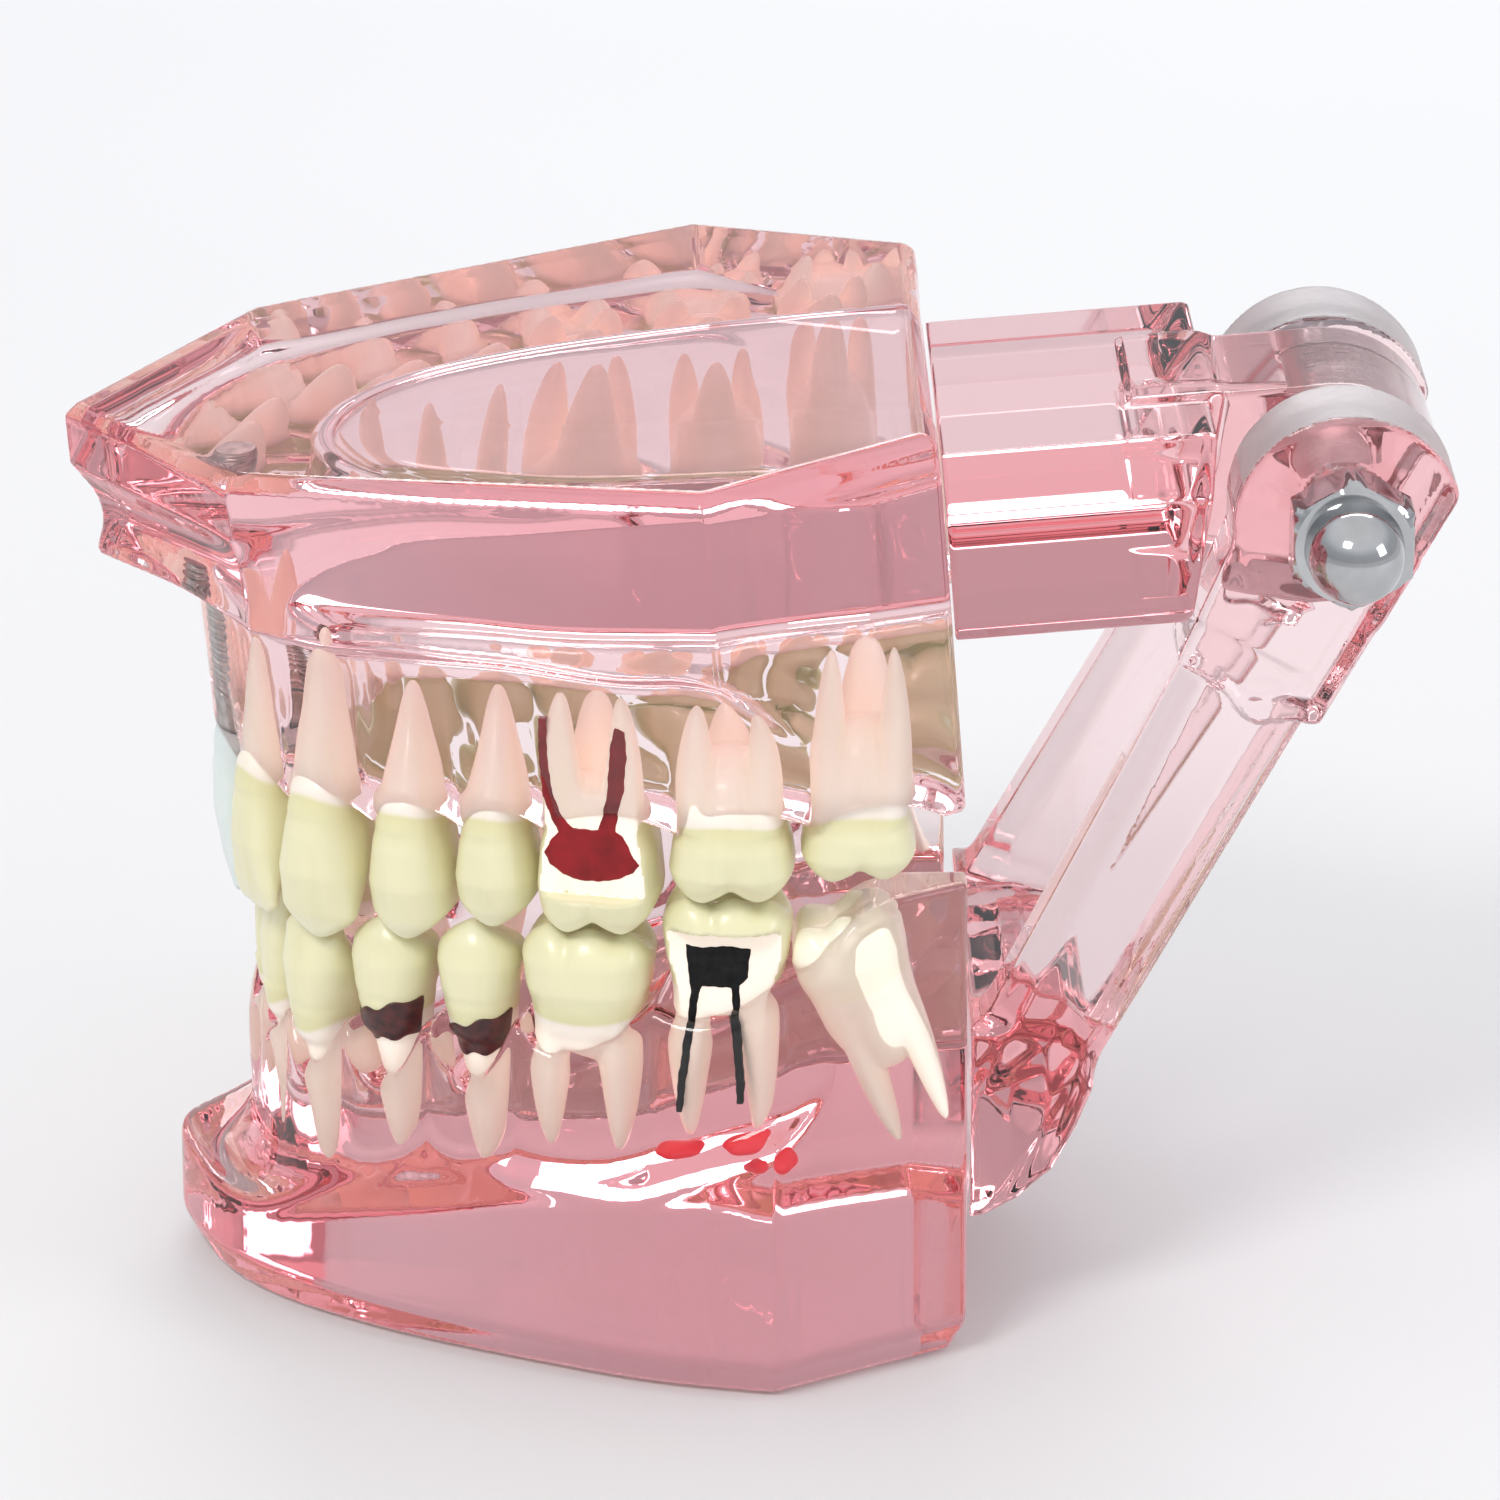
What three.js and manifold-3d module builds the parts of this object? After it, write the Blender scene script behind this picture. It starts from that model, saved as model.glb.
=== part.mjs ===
// Hinged dental teaching model (typodont): two clear cast-resin jaw bases with
// teeth cast into them, joined at the back by a tongue-and-yoke hinge on an M6 bolt.
// Millimetres, +Z up. -X is the front (incisors), +X the hinge, the patient's left is -Y.
// The model stands on the flat underside of the lower base at z = 0.
import * as THREE from 'three';
import { mergeVertices } from 'three/addons/utils/BufferGeometryUtils.js';
import Module from 'manifold-3d';

const wasm = await Module();
wasm.setup();

// ---------------------------------------------------------------- dimensions
const GAP = 0.35;                         // clearance between a cast-in piece and the resin round it
const PIVOT = { x: 48.3, z: 70.9 };       // hinge bolt axis, along Y
const UPPER_TILT = 4.5;                   // degrees the upper jaw nods forward with the teeth together

// upper base (dimensions in the level jaw, before the tilt)
const UP_TOP = 84.7, UP_PLATE_BOTTOM = 70.8, UP_GUM = 54.3, UP_BEVEL = 1.2;
const UP_OUTLINE = [[-56.5, 0], [-42.7, -22.3], [-4.1, -36.5], [15.0, -25.8], [15.0, 25.8], [-4.1, 36.5], [-42.7, 22.3]];
const UP_RIDGE_OUT = [[-47.9, 0], [-46.9, -6.6], [-43.6, -14], [-37.6, -20.9], [-29.6, -25.3], [-20.5, -28.8], [-9, -32.0], [3, -33.6], [20, -34.5]];
const UP_RIDGE_IN = [[-37.0, 0], [-36.0, -5.2], [-33.4, -10], [-28.6, -14.2], [-22.5, -17.0], [-14, -19.6], [-4, -21.2], [6, -22], [20, -22.3]];

// lower base
const LO_HEEL_X = 17.2, LO_BEVEL = 3.3, LO_PLATE_TOP = 26.5, LO_RIDGE_TOP = 43.5;
const LO_OUTLINE = [[-50.3, 0], [-49.3, -4.5], [-46.3, -10.6], [-41.2, -16.2], [-33, -22.0], [-23, -27.2], [-10.5, -32.6], [1.0, -35.4], [17.2, -26.3]];
const LO_PLATE_PROFILE = [[-60, 12], [-48.6, 12], [-44.5, 8.6], [-40, 9.6], [-30, 16], [-12, 17.6], [0, 21.6], [5, 26], [30, 26]];
const LO_RIDGE_OUT = [[-43.9, 0], [-43.3, -5.5], [-41.2, -12.0], [-37.2, -18.2], [-31, -22.8], [-23.5, -26.4], [-13, -30.0], [-1, -32.2], [20, -33.6]];
const LO_RIDGE_IN = [[-34.0, 0], [-33.2, -4.2], [-31.0, -8.8], [-27.0, -12.8], [-21.5, -15.8], [-13, -18.6], [-3, -20.6], [8, -21.4], [20, -21.6]];
const LO_RIDGE_PROFILE = [[-60, 25.2], [-38, 25.4], [-31.5, 27.6], [-15, 31.2], [-1.5, 35.0], [3.5, 36.6], [8.0, 42.4], [30, 43.0]];

// hinge
const HEAD_R = 9.5, HEAD_IN = 8.7, HEAD_OUT = 17.4;      // yoke heads
const TONGUE_HALF = 8.0, TONGUE_R = 9.0;                 // upper tongue
const BLOCK = { x0: 15.0, x1: 38.2, top: 79.9, bottom: 64.6, halfTop: 17.4, halfSide: 21.6, chamfer: 4.2, halfBottom: 20.2, foot: 1.6 };
const ARM_LEAN = 29.2;                                   // degrees back from vertical
const ARM_BACK = 6.9, ARM_FRONT = 6.3;                   // arm faces, measured square to the arm from the bolt axis
const SHOULDER = 17.3;                                   // from the bolt axis down the arm to the shoulder step
const ARM_FOOT_OUT = 22.6, ARM_FOOT_IN = 13.6;           // half widths over and between the arms at the foot
const FOOT_Z = [10.4, 26.0];                             // crossbar height range
const BOLT_R = 3.0, BORE_R = 3.35, NUT_AF = 9.9, NUT_H = 5.0, DOME_R = 3.95;

// ---------------------------------------------------------------- solids
const V3 = THREE.Vector3;

function weld(geometry) {
  const g = geometry.clone();
  for (const name of Object.keys(g.attributes)) if (name !== 'position') g.deleteAttribute(name);
  return mergeVertices(g, 1e-4);
}

function solid(geometry) {
  const g = weld(geometry);
  const p = g.attributes.position, idx = g.index.array;
  const tri = [];
  let vol = 0;
  const a = new V3(), b = new V3(), c = new V3();
  for (let i = 0; i < idx.length; i += 3) {
    if (idx[i] === idx[i + 1] || idx[i + 1] === idx[i + 2] || idx[i] === idx[i + 2]) continue;
    tri.push(idx[i], idx[i + 1], idx[i + 2]);
    a.fromBufferAttribute(p, idx[i]); b.fromBufferAttribute(p, idx[i + 1]); c.fromBufferAttribute(p, idx[i + 2]);
    vol += a.dot(b.clone().cross(c));
  }
  if (vol < 0) for (let i = 0; i < tri.length; i += 3) [tri[i + 1], tri[i + 2]] = [tri[i + 2], tri[i + 1]];
  return new wasm.Manifold(new wasm.Mesh({ numProp: 3, vertProperties: new Float32Array(p.array), triVerts: new Uint32Array(tri) }));
}

function geometryOf(manifold) {
  const m = manifold.getMesh();
  const g = new THREE.BufferGeometry();
  const pos = new Float32Array(m.numVert * 3);
  for (let i = 0; i < m.numVert; i++) for (let k = 0; k < 3; k++) pos[3 * i + k] = m.vertProperties[i * m.numProp + k];
  g.setAttribute('position', new THREE.BufferAttribute(pos, 3));
  g.setIndex(new THREE.BufferAttribute(new Uint32Array(m.triVerts), 1));
  return g;
}

// a closed loft through rings of equal point count: the rings of a capped cylinder are moved onto them
function loft(rings) {
  const n = rings[0].length, m = rings.length - 1;
  const g = new THREE.CylinderGeometry(1, 1, 1, n, m, false);
  const p = g.attributes.position, q = new V3();
  for (let i = 0; i < p.count; i++) {
    q.fromBufferAttribute(p, i);
    const j = Math.round((0.5 - q.y) * m);
    if (Math.hypot(q.x, q.z) < 1e-6) {
      const mid = rings[j].reduce((s, r) => s.add(r), new V3()).multiplyScalar(1 / n);
      p.setXYZ(i, mid.x, mid.y, mid.z);
    } else {
      const k = ((Math.round(Math.atan2(q.x, q.z) / (2 * Math.PI / n)) % n) + n) % n;
      p.setXYZ(i, rings[j][k].x, rings[j][k].y, rings[j][k].z);
    }
  }
  return g;
}

function prism(points, z0, z1) {
  const g = new THREE.ExtrudeGeometry(new THREE.Shape(points.map(([x, y]) => new THREE.Vector2(x, y))), { depth: z1 - z0, bevelEnabled: false });
  return g.translate(0, 0, z0);
}

// the space above (or below) a height profile given in X and Z, across the whole width
function profileCut(profile, z, halfWidth = 80) {
  const pts = profile.map(([x, h]) => [x, h]);
  pts.push([profile[profile.length - 1][0], z], [profile[0][0], z]);
  const g = new THREE.ExtrudeGeometry(new THREE.Shape(pts.map(([x, h]) => new THREE.Vector2(x, h))), { depth: 2 * halfWidth, bevelEnabled: false });
  return g.rotateX(Math.PI / 2).translate(0, halfWidth, 0);
}

const mirrored = (half) => [...half, ...half.slice().reverse().filter(([, y]) => y !== 0).map(([x, y]) => [x, -y])];

// a horseshoe between an outer and an inner half curve
function horseshoe(outer, inner, z0, z1) {
  const o = [...outer.slice().reverse().map(([x, y]) => [x, y]), ...outer.slice(1).map(([x, y]) => [x, -y])];
  const i = [...inner.slice().reverse().map(([x, y]) => [x, -y]), ...inner.slice(1).map(([x, y]) => [x, y])];
  return prism([...o, ...i], z0, z1);
}

// an outline moved in by d (out when d is negative), with its corners kept
function inset(poly, d) {
  const n = poly.length, out = [];
  let area = 0;
  for (let i = 0; i < n; i++) { const [x1, y1] = poly[i], [x2, y2] = poly[(i + 1) % n]; area += x1 * y2 - x2 * y1; }
  const s = area > 0 ? 1 : -1;
  const line = (i) => {
    const [x1, y1] = poly[i], [x2, y2] = poly[(i + 1) % n];
    const l = Math.hypot(x2 - x1, y2 - y1), nx = s * (y2 - y1) / l, ny = -s * (x2 - x1) / l;
    return [nx, ny, nx * x1 + ny * y1 - d];
  };
  for (let i = 0; i < n; i++) {
    const [a1, b1, c1] = line((i + n - 1) % n), [a2, b2, c2] = line(i);
    const det = a1 * b2 - a2 * b1;
    if (Math.abs(det) < 1e-6) { out.push([poly[i][0] - a2 * d, poly[i][1] - b2 * d]); continue; }
    out.push([(c1 * b2 - c2 * b1) / det, (a1 * c2 - a2 * c1) / det]);
  }
  return out;
}

const ringAt = (poly, z) => poly.map(([x, y]) => new V3(x, y, z));

// ---------------------------------------------------------------- teeth
// code: [x, y of the neck centre, mesio-distal, bucco-lingual, neck z, crown tip z, root apex z, kind]
const UPPER = {
  1: [-43.2, -4.35, 8.3, 7.0, 47.6, 34.6, 61.5, 'incisor'],
  2: [-41.2, -11.4, 6.9, 6.4, 47.6, 35.4, 60.5, 'incisor'],
  3: [-36.0, -17.2, 7.8, 8.0, 47.9, 35.3, 62.1, 'canine'],
  4: [-28.8, -20.8, 7.3, 8.8, 48.1, 36.9, 59.6, 'premolar'],
  5: [-21.8, -23.5, 6.9, 8.8, 48.8, 39.1, 60.3, 'premolar'],
  6: [-13.4, -26.2, 10.2, 10.8, 50.0, 39.6, 61.2, 'molar'],
  7: [-2.6, -28.0, 10.4, 10.6, 50.2, 43.0, 60.8, 'molar'],
  8: [7.7, -28.0, 9.6, 9.8, 50.8, 44.8, 63.8, 'molar'],
};
const LOWER = {
  1: [-40.4, -2.75, 5.3, 5.8, 26.3, 36.6, 14.5, 'incisor'],
  2: [-39.4, -8.4, 5.8, 6.2, 26.3, 36.6, 14.0, 'incisor'],
  3: [-36.4, -14.3, 6.9, 7.4, 26.7, 37.0, 13.2, 'canine'],
  4: [-30.6, -18.9, 7.2, 7.4, 29.5, 38.0, 16.6, 'premolar'],
  5: [-23.4, -22.2, 7.2, 7.8, 30.6, 39.0, 16.6, 'premolar'],
  6: [-14.4, -25.2, 11.0, 10.0, 32.2, 40.2, 19.6, 'molar'],
  7: [-3.0, -27.2, 10.8, 9.8, 35.4, 43.6, 21.4, 'molar'],
  8: [8.2, -27.4, 10.0, 9.2, 42.6, 48.6, 29.0, 'molar'],
};
// crown widths from the neck (0) to the tip (1), as shares of width and depth, and the shift outwards
const CROWN = {
  incisor: [[1.0, 0.86, 0.16, 0.1], [0.62, 1.0, 0.5, 0.1], [0.25, 0.92, 0.92, 0.02], [0, 0.74, 0.88, 0]],
  canine: [[1.0, 0.28, 0.2, 0.1], [0.74, 0.84, 0.56, 0.08], [0.42, 1.0, 0.92, 0.04], [0, 0.76, 0.9, 0]],
  premolar: [[1.0, 0.5, 0.46, 0.0], [0.78, 0.9, 0.88, 0], [0.42, 1.0, 1.0, 0], [0, 0.76, 0.88, 0]],
  molar: [[1.0, 0.7, 0.66, 0], [0.78, 0.94, 0.92, 0], [0.4, 1.0, 1.0, 0], [0, 0.82, 0.88, 0]],
};

// one tooth, or the same tooth grown by a clearance, in the model frame
function toothSolid(spec, side, arch, grow = 0, sides = 8) {
  const [x, y, md, bl, neck, tip, apex, kind] = spec;
  const dir = Math.sign(tip - neck);
  const next = arch.dirAt(x, y);
  const t = new V3(next[0], next[1], 0), b = new V3(next[2], next[3], 0);
  const point = (u, v, z) => new V3(x + t.x * u + b.x * v, (y + t.y * u + b.y * v) * side, z);
  const oval = (w, d, z, u0 = 0, v0 = 0, n = sides) => {
    const r = [];
    for (let k = 0; k < n; k++) {
      const a = 2 * Math.PI * (k + 0.5) / n;
      const c = Math.cos(a), s = Math.sin(a), q = Math.pow(Math.abs(c) ** 2.6 + Math.abs(s) ** 2.6, -1 / 2.6);
      r.push(point(u0 + (w / 2 + grow) * c * q, v0 + (d / 2 + grow) * s * q, z));
    }
    return r;
  };
  const h = tip - neck, r = apex - neck;
  const rings = CROWN[kind].map(([f, w, d, o]) => oval(md * w, bl * d, neck + h * f + (f === 1 ? dir * grow : 0), 0, bl * o));
  if (kind !== 'molar') {
    const in1 = kind === 'incisor' ? 0.62 : 0.66;
    rings.push(oval(md * in1, bl * 0.78, neck + r * 0.4, 0, -bl * 0.1));
    rings.push(oval(md * in1 * 0.62, bl * 0.5, neck + r * 0.78, 0, -bl * 0.22));
    rings.push(oval(md * 0.14, bl * 0.12, apex - dir * grow, 0, -bl * 0.3));
    return solid(loft(rings));
  }
  rings.push(oval(md * 0.8, bl * 0.84, neck + r * 0.26));
  let body = solid(loft(rings));
  const roots = arch.upper ? [[-0.25, 0.2], [0.25, 0.2], [0, -0.24]] : [[-0.25, 0], [0.25, 0]];
  const depth = arch.upper ? 0.36 : 0.66;
  for (const [ru, rv] of roots) {
    body = body.add(solid(loft([
      oval(md * 0.3, bl * depth, neck + r * 0.16, md * ru, bl * rv, 6),
      oval(md * 0.27, bl * depth * 0.8, neck + r * 0.6, md * ru * 1.12, bl * rv * 1.1, 6),
      oval(md * 0.1, bl * depth * 0.28, apex - dir * grow, md * ru * 1.2, bl * rv * 1.2, 6),
    ])));
  }
  return body;
}

// direction of the dental arch at a tooth: along it (distally) and outwards
function arch(table, upper) {
  const pts = Object.values(table).map(([x, y]) => [x, y]);
  return {
    upper,
    dirAt(x, y) {
      const i = pts.findIndex(([px]) => px === x);
      const a = i > 0 ? pts[i - 1] : [pts[0][0], -pts[0][1]], c = i < pts.length - 1 ? pts[i + 1] : pts[i];
      const l = Math.hypot(c[0] - a[0], c[1] - a[1]);
      const u = [(c[0] - a[0]) / l, (c[1] - a[1]) / l];
      return [u[0], u[1], u[1], -u[0]];
    },
  };
}
const upArch = arch(UPPER, true), loArch = arch(LOWER, false);

// the socket that a tooth stands in: one tapered well round all its roots, open at the gum
function well(spec, side, dirs, mouth, wider = 0, deeper = 0) {
  const [x, y, md, bl, neck, tip, apex, kind] = spec;
  const [tx, ty, bx, by] = dirs.dirAt(x, y);
  const dir = Math.sign(tip - neck), g = GAP + 0.15;
  const oval = (w, d, z, v0 = 0) => {
    const r = [];
    for (let k = 0; k < 8; k++) {
      const a = 2 * Math.PI * (k + 0.5) / 8, c = Math.cos(a), s = Math.sin(a);
      const q = Math.pow(Math.abs(c) ** 2.6 + Math.abs(s) ** 2.6, -1 / 2.6) * 1.02;
      const u = (w / 2 + g) * c * q, v = v0 + (d / 2 + g) * s * q;
      r.push(new V3(x + tx * u + bx * v, (y + ty * u + by * v) * side, z));
    }
    return r;
  };
  const m = kind === 'molar', r = apex - neck;
  return solid(loft([
    oval(md * 0.86, bl * 0.92, mouth),
    oval(md * (m ? 0.92 : 0.78), bl * (m ? 0.98 : 0.92), neck + r * 0.1),
    oval(md * (m ? 0.93 : 0.68), bl * (m ? 0.99 : 0.84), neck + r * (m ? 0.64 : 0.42), m ? 0 : -bl * 0.1),
    oval(md * (m ? 0.84 : 0.22) + wider, bl * (m ? 0.82 : 0.2) + wider, apex - dir * (0.5 + deeper), m ? 0 : -bl * 0.29),
  ]));
}

// ---------------------------------------------------------------- upper jaw
const tiltUpper = (geometry) => geometry.translate(-PIVOT.x, 0, -PIVOT.z).rotateY(-UPPER_TILT * Math.PI / 180).translate(PIVOT.x, 0, PIVOT.z);
const group = new THREE.Group();
const lowerGroup = new THREE.Group(), upperGroup = new THREE.Group();
group.position.set(-0.193, 0, 0);          // the origin is under the middle of the model's box
group.add(lowerGroup, upperGroup);

const LOOK = {
  resin: () => new THREE.MeshStandardMaterial({ color: 0xf2a9b4, roughness: 0.08, metalness: 0, transparent: true, opacity: 0.4 }),
  tooth: () => new THREE.MeshStandardMaterial({ color: 0xe9e6b4, roughness: 0.4, metalness: 0 }),
  crown: () => new THREE.MeshStandardMaterial({ color: 0xdbe4e2, roughness: 0.25, metalness: 0 }),
  steel: () => new THREE.MeshStandardMaterial({ color: 0xd0d2d2, roughness: 0.12, metalness: 1 }),
  titanium: () => new THREE.MeshStandardMaterial({ color: 0x9a948c, roughness: 0.32, metalness: 1 }),
  pulp: () => new THREE.MeshStandardMaterial({ color: 0x7c0f16, roughness: 0.4, metalness: 0 }),
  filling: () => new THREE.MeshStandardMaterial({ color: 0x101010, roughness: 0.5, metalness: 0 }),
  caries: () => new THREE.MeshStandardMaterial({ color: 0x3a1410, roughness: 0.55, metalness: 0 }),
  lesion: () => new THREE.MeshStandardMaterial({ color: 0xd81e22, roughness: 0.35, metalness: 0 }),
};
function piece(name, manifold, look, parent) {
  const mesh = new THREE.Mesh(geometryOf(manifold), LOOK[look]());
  mesh.name = name;
  parent.add(mesh);
}

// plate with bevelled top edge
let upperBase = solid(tiltUpper(loft([
  ringAt(inset(UP_OUTLINE, UP_BEVEL), UP_TOP),
  ringAt(UP_OUTLINE, UP_TOP - UP_BEVEL),
  ringAt(UP_OUTLINE, UP_PLATE_BOTTOM + 1.2),
  ringAt(inset(UP_OUTLINE, 1.2), UP_PLATE_BOTTOM),
])));
// alveolar ridge, kept inside the plate outline
const upRidge = solid(tiltUpper(horseshoe(UP_RIDGE_OUT, UP_RIDGE_IN, UP_GUM, UP_TOP - 4)))
  .intersect(solid(tiltUpper(prism(inset(UP_OUTLINE, 0.02), UP_GUM - 1, UP_TOP))));
upperBase = upperBase.add(upRidge);

const sides = [['left', 1], ['right', -1]];
const UPPER_NAMES = { 1: 'central_incisor', 2: 'lateral_incisor', 3: 'canine', 4: 'first_premolar', 5: 'second_premolar', 6: 'first_molar', 7: 'second_molar', 8: 'third_molar' };

// implant at the left central incisor: threaded fixture, abutment and crown
const IMPLANT = { x: -43.0, y: -4.4, top: 64.5, shoulder: 53.0, tip: 34.6, r: 2.05, abutR: 1.7 };
const upperTeeth = {};
for (const [side, s] of sides) {
  for (const [code, spec] of Object.entries(UPPER)) {
    if (side === 'left' && code === '1') continue;
    upperTeeth[side + code] = toothSolid(spec, s, upArch);
    upperBase = upperBase.subtract(well(spec, s, upArch, 44));
  }
}

const lathe = (profile, n, at) => new THREE.LatheGeometry(profile.map(([r, z]) => new THREE.Vector2(r, z)), n).rotateX(Math.PI / 2).translate(at.x, at.y, 0);
// implant lathe profiles run along z
const at = { x: IMPLANT.x, y: IMPLANT.y };
const fixture = [[0, IMPLANT.top], [1.5, IMPLANT.top]];
for (let z = IMPLANT.top - 0.6; z > IMPLANT.shoulder + 1.2; z -= 1.3) fixture.push([1.75, z], [IMPLANT.r, z - 0.65]);
fixture.push([2.05, IMPLANT.shoulder], [0, IMPLANT.shoulder]);
upperBase = upperBase.subtract(solid(lathe([[0, IMPLANT.top + 0.4], [IMPLANT.r + 0.4, IMPLANT.top + 0.4], [IMPLANT.r + 0.4, 51.0], [4.6, 50.4], [4.6, 40], [0, 40]], 12, at)));
// crown of the implant, with a blind bore for the abutment
const crownSpec = [IMPLANT.x, IMPLANT.y, 8.2, 7.0, 48.6, 34.6, 0, 'incisor'];
function crownSolid() {
  const [x, y, md, bl, neck, tip] = crownSpec;
  const [tx, ty, bx, by] = upArch.dirAt(UPPER[1][0], UPPER[1][1]);
  const rings = [...CROWN.incisor, [-0.05, 0.6, 0.7, 0]].map(([f, w, d, o]) => {
    const r = [];
    for (let k = 0; k < 10; k++) {
      const a = 2 * Math.PI * (k + 0.5) / 10, c = Math.cos(a), q = Math.sin(a);
      r.push(new V3(x + tx * md * w / 2 * c + bx * (bl * o + bl * d / 2 * q), y + ty * md * w / 2 * c + by * (bl * o + bl * d / 2 * q), neck + (tip - neck) * f));
    }
    return r;
  });
  return solid(loft(rings)).subtract(solid(lathe([[0, 60], [IMPLANT.abutR + GAP, 60], [IMPLANT.abutR + GAP, 45.6], [0, 45.4]], 10, at)));
}
const implantCrown = crownSolid();
const abutment = solid(lathe([[0, IMPLANT.shoulder - GAP], [2.0, IMPLANT.shoulder - GAP], [IMPLANT.abutR, 50.9], [IMPLANT.abutR, 46.2], [1.3, 45.8], [0, 45.8]], 10, at));

// ---------------------------------------------------------------- section faces
// a tooth whose cheek side is ground flat, with a coloured inlay let into the flat
const faceFrame = (spec, d, depth) => (u, v, z) => new V3(spec[0] + d[0] * u + d[2] * (depth + v), spec[1] + d[1] * u + d[3] * (depth + v), z);
function onFace(frame, points, v0, v1) {
  const g = new THREE.ExtrudeGeometry(new THREE.Shape(points.map(([u, z]) => new THREE.Vector2(u, z))), { depth: 1, bevelEnabled: false });
  const p = g.attributes.position, q = new V3();
  for (let i = 0; i < p.count; i++) { q.fromBufferAttribute(p, i); const r = frame(q.x, q.z > 0.5 ? v1 : v0, q.y); p.setXYZ(i, r.x, r.y, r.z); }
  return solid(g);
}
function inlaid(tooth, spec, dirs, face, flat, outline, depth) {
  const f = faceFrame(spec, dirs.dirAt(spec[0], spec[1]), face);
  const ground = tooth.subtract(onFace(f, flat, 0, 12)).subtract(onFace(f, inset(outline, -GAP), -depth - GAP, 14));
  return [ground, onFace(f, outline, -depth, 0)];
}
// pulp chamber with two canals, upper left first molar
const PULP_26 = [[-3.7, 46.8], [-1.8, 44.9], [2.2, 44.7], [3.9, 46.3], [3.2, 47.8], [2.75, 49.4], [2.9, 55.6], [2.1, 55.8], [1.75, 49.9], [-1.5, 50.0], [-2.5, 55.9], [-3.3, 55.8], [-2.7, 49.6]];
let pulpInlay, canalFilling;
[upperTeeth.left6, pulpInlay] = inlaid(upperTeeth.left6, UPPER[6], upArch, 3.5, [[-12, 43.4], [12, 43.4], [12, 70], [-12, 70]], PULP_26, 1.6);

// ---------------------------------------------------------------- upper hinge block with its tongue
const B = BLOCK;
const blockRing = (x, dz = 0) => [
  [B.halfTop, B.top], [B.halfSide, B.top - B.chamfer], [B.halfSide, B.bottom + B.foot], [B.halfBottom, B.bottom],
  [-B.halfBottom, B.bottom], [-B.halfSide, B.bottom + B.foot], [-B.halfSide, B.top - B.chamfer], [-B.halfTop, B.top],
].map(([y, z]) => new V3(x - (z < B.top - 1 ? dz * (B.top - z) / (B.top - B.bottom) : 0), y, z));
const boltBore = (y0, y1, r = BORE_R, n = 20) => solid(new THREE.CylinderGeometry(r, r, y1 - y0, n).translate(PIVOT.x, (y0 + y1) / 2, -PIVOT.z).scale(1, 1, -1));
const disc = (r, y0, y1, n = 32) => new THREE.CylinderGeometry(r, r, y1 - y0, n).translate(PIVOT.x, (y0 + y1) / 2, 0).translate(0, 0, PIVOT.z);
let hingeBlock = solid(tiltUpper(loft([blockRing(B.x0 + 0.35), blockRing(B.x1, 3.4)])));
// tongue: a bar from the block to the round end about the bolt
const tongueBar = new THREE.ExtrudeGeometry(new THREE.Shape([
  [B.x1 - 6, B.top], [PIVOT.x, B.top], [PIVOT.x, PIVOT.z - TONGUE_R], [PIVOT.x - 3, PIVOT.z - TONGUE_R], [B.x1 - 6, B.bottom + 0.2],
].map(([x, z]) => new THREE.Vector2(x, z))), { depth: 2 * TONGUE_HALF, bevelEnabled: false }).rotateX(Math.PI / 2).translate(0, TONGUE_HALF, 0);
hingeBlock = hingeBlock.add(solid(tiltUpper(tongueBar))).add(solid(disc(TONGUE_R, -TONGUE_HALF, TONGUE_HALF)))
  .subtract(solid(disc(BORE_R, -TONGUE_HALF - 1, TONGUE_HALF + 1, 20)));

// ---------------------------------------------------------------- lower jaw
let lowerBase = solid(loft([
  ringAt(mirrored(LO_OUTLINE), LO_PLATE_TOP + 4),
  ringAt(mirrored(LO_OUTLINE), LO_BEVEL),
  ringAt(inset(mirrored(LO_OUTLINE), 1.3), 0),
]));
lowerBase = lowerBase.subtract(solid(profileCut(LO_PLATE_PROFILE, 60)));
let loRidge = solid(horseshoe(LO_RIDGE_OUT, LO_RIDGE_IN, 4, LO_RIDGE_TOP)).intersect(solid(prism(inset(mirrored(LO_OUTLINE), 0.02), 3, 60)));
loRidge = loRidge.subtract(solid(profileCut(LO_RIDGE_PROFILE, 70)));
lowerBase = lowerBase.add(loRidge);

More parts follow.
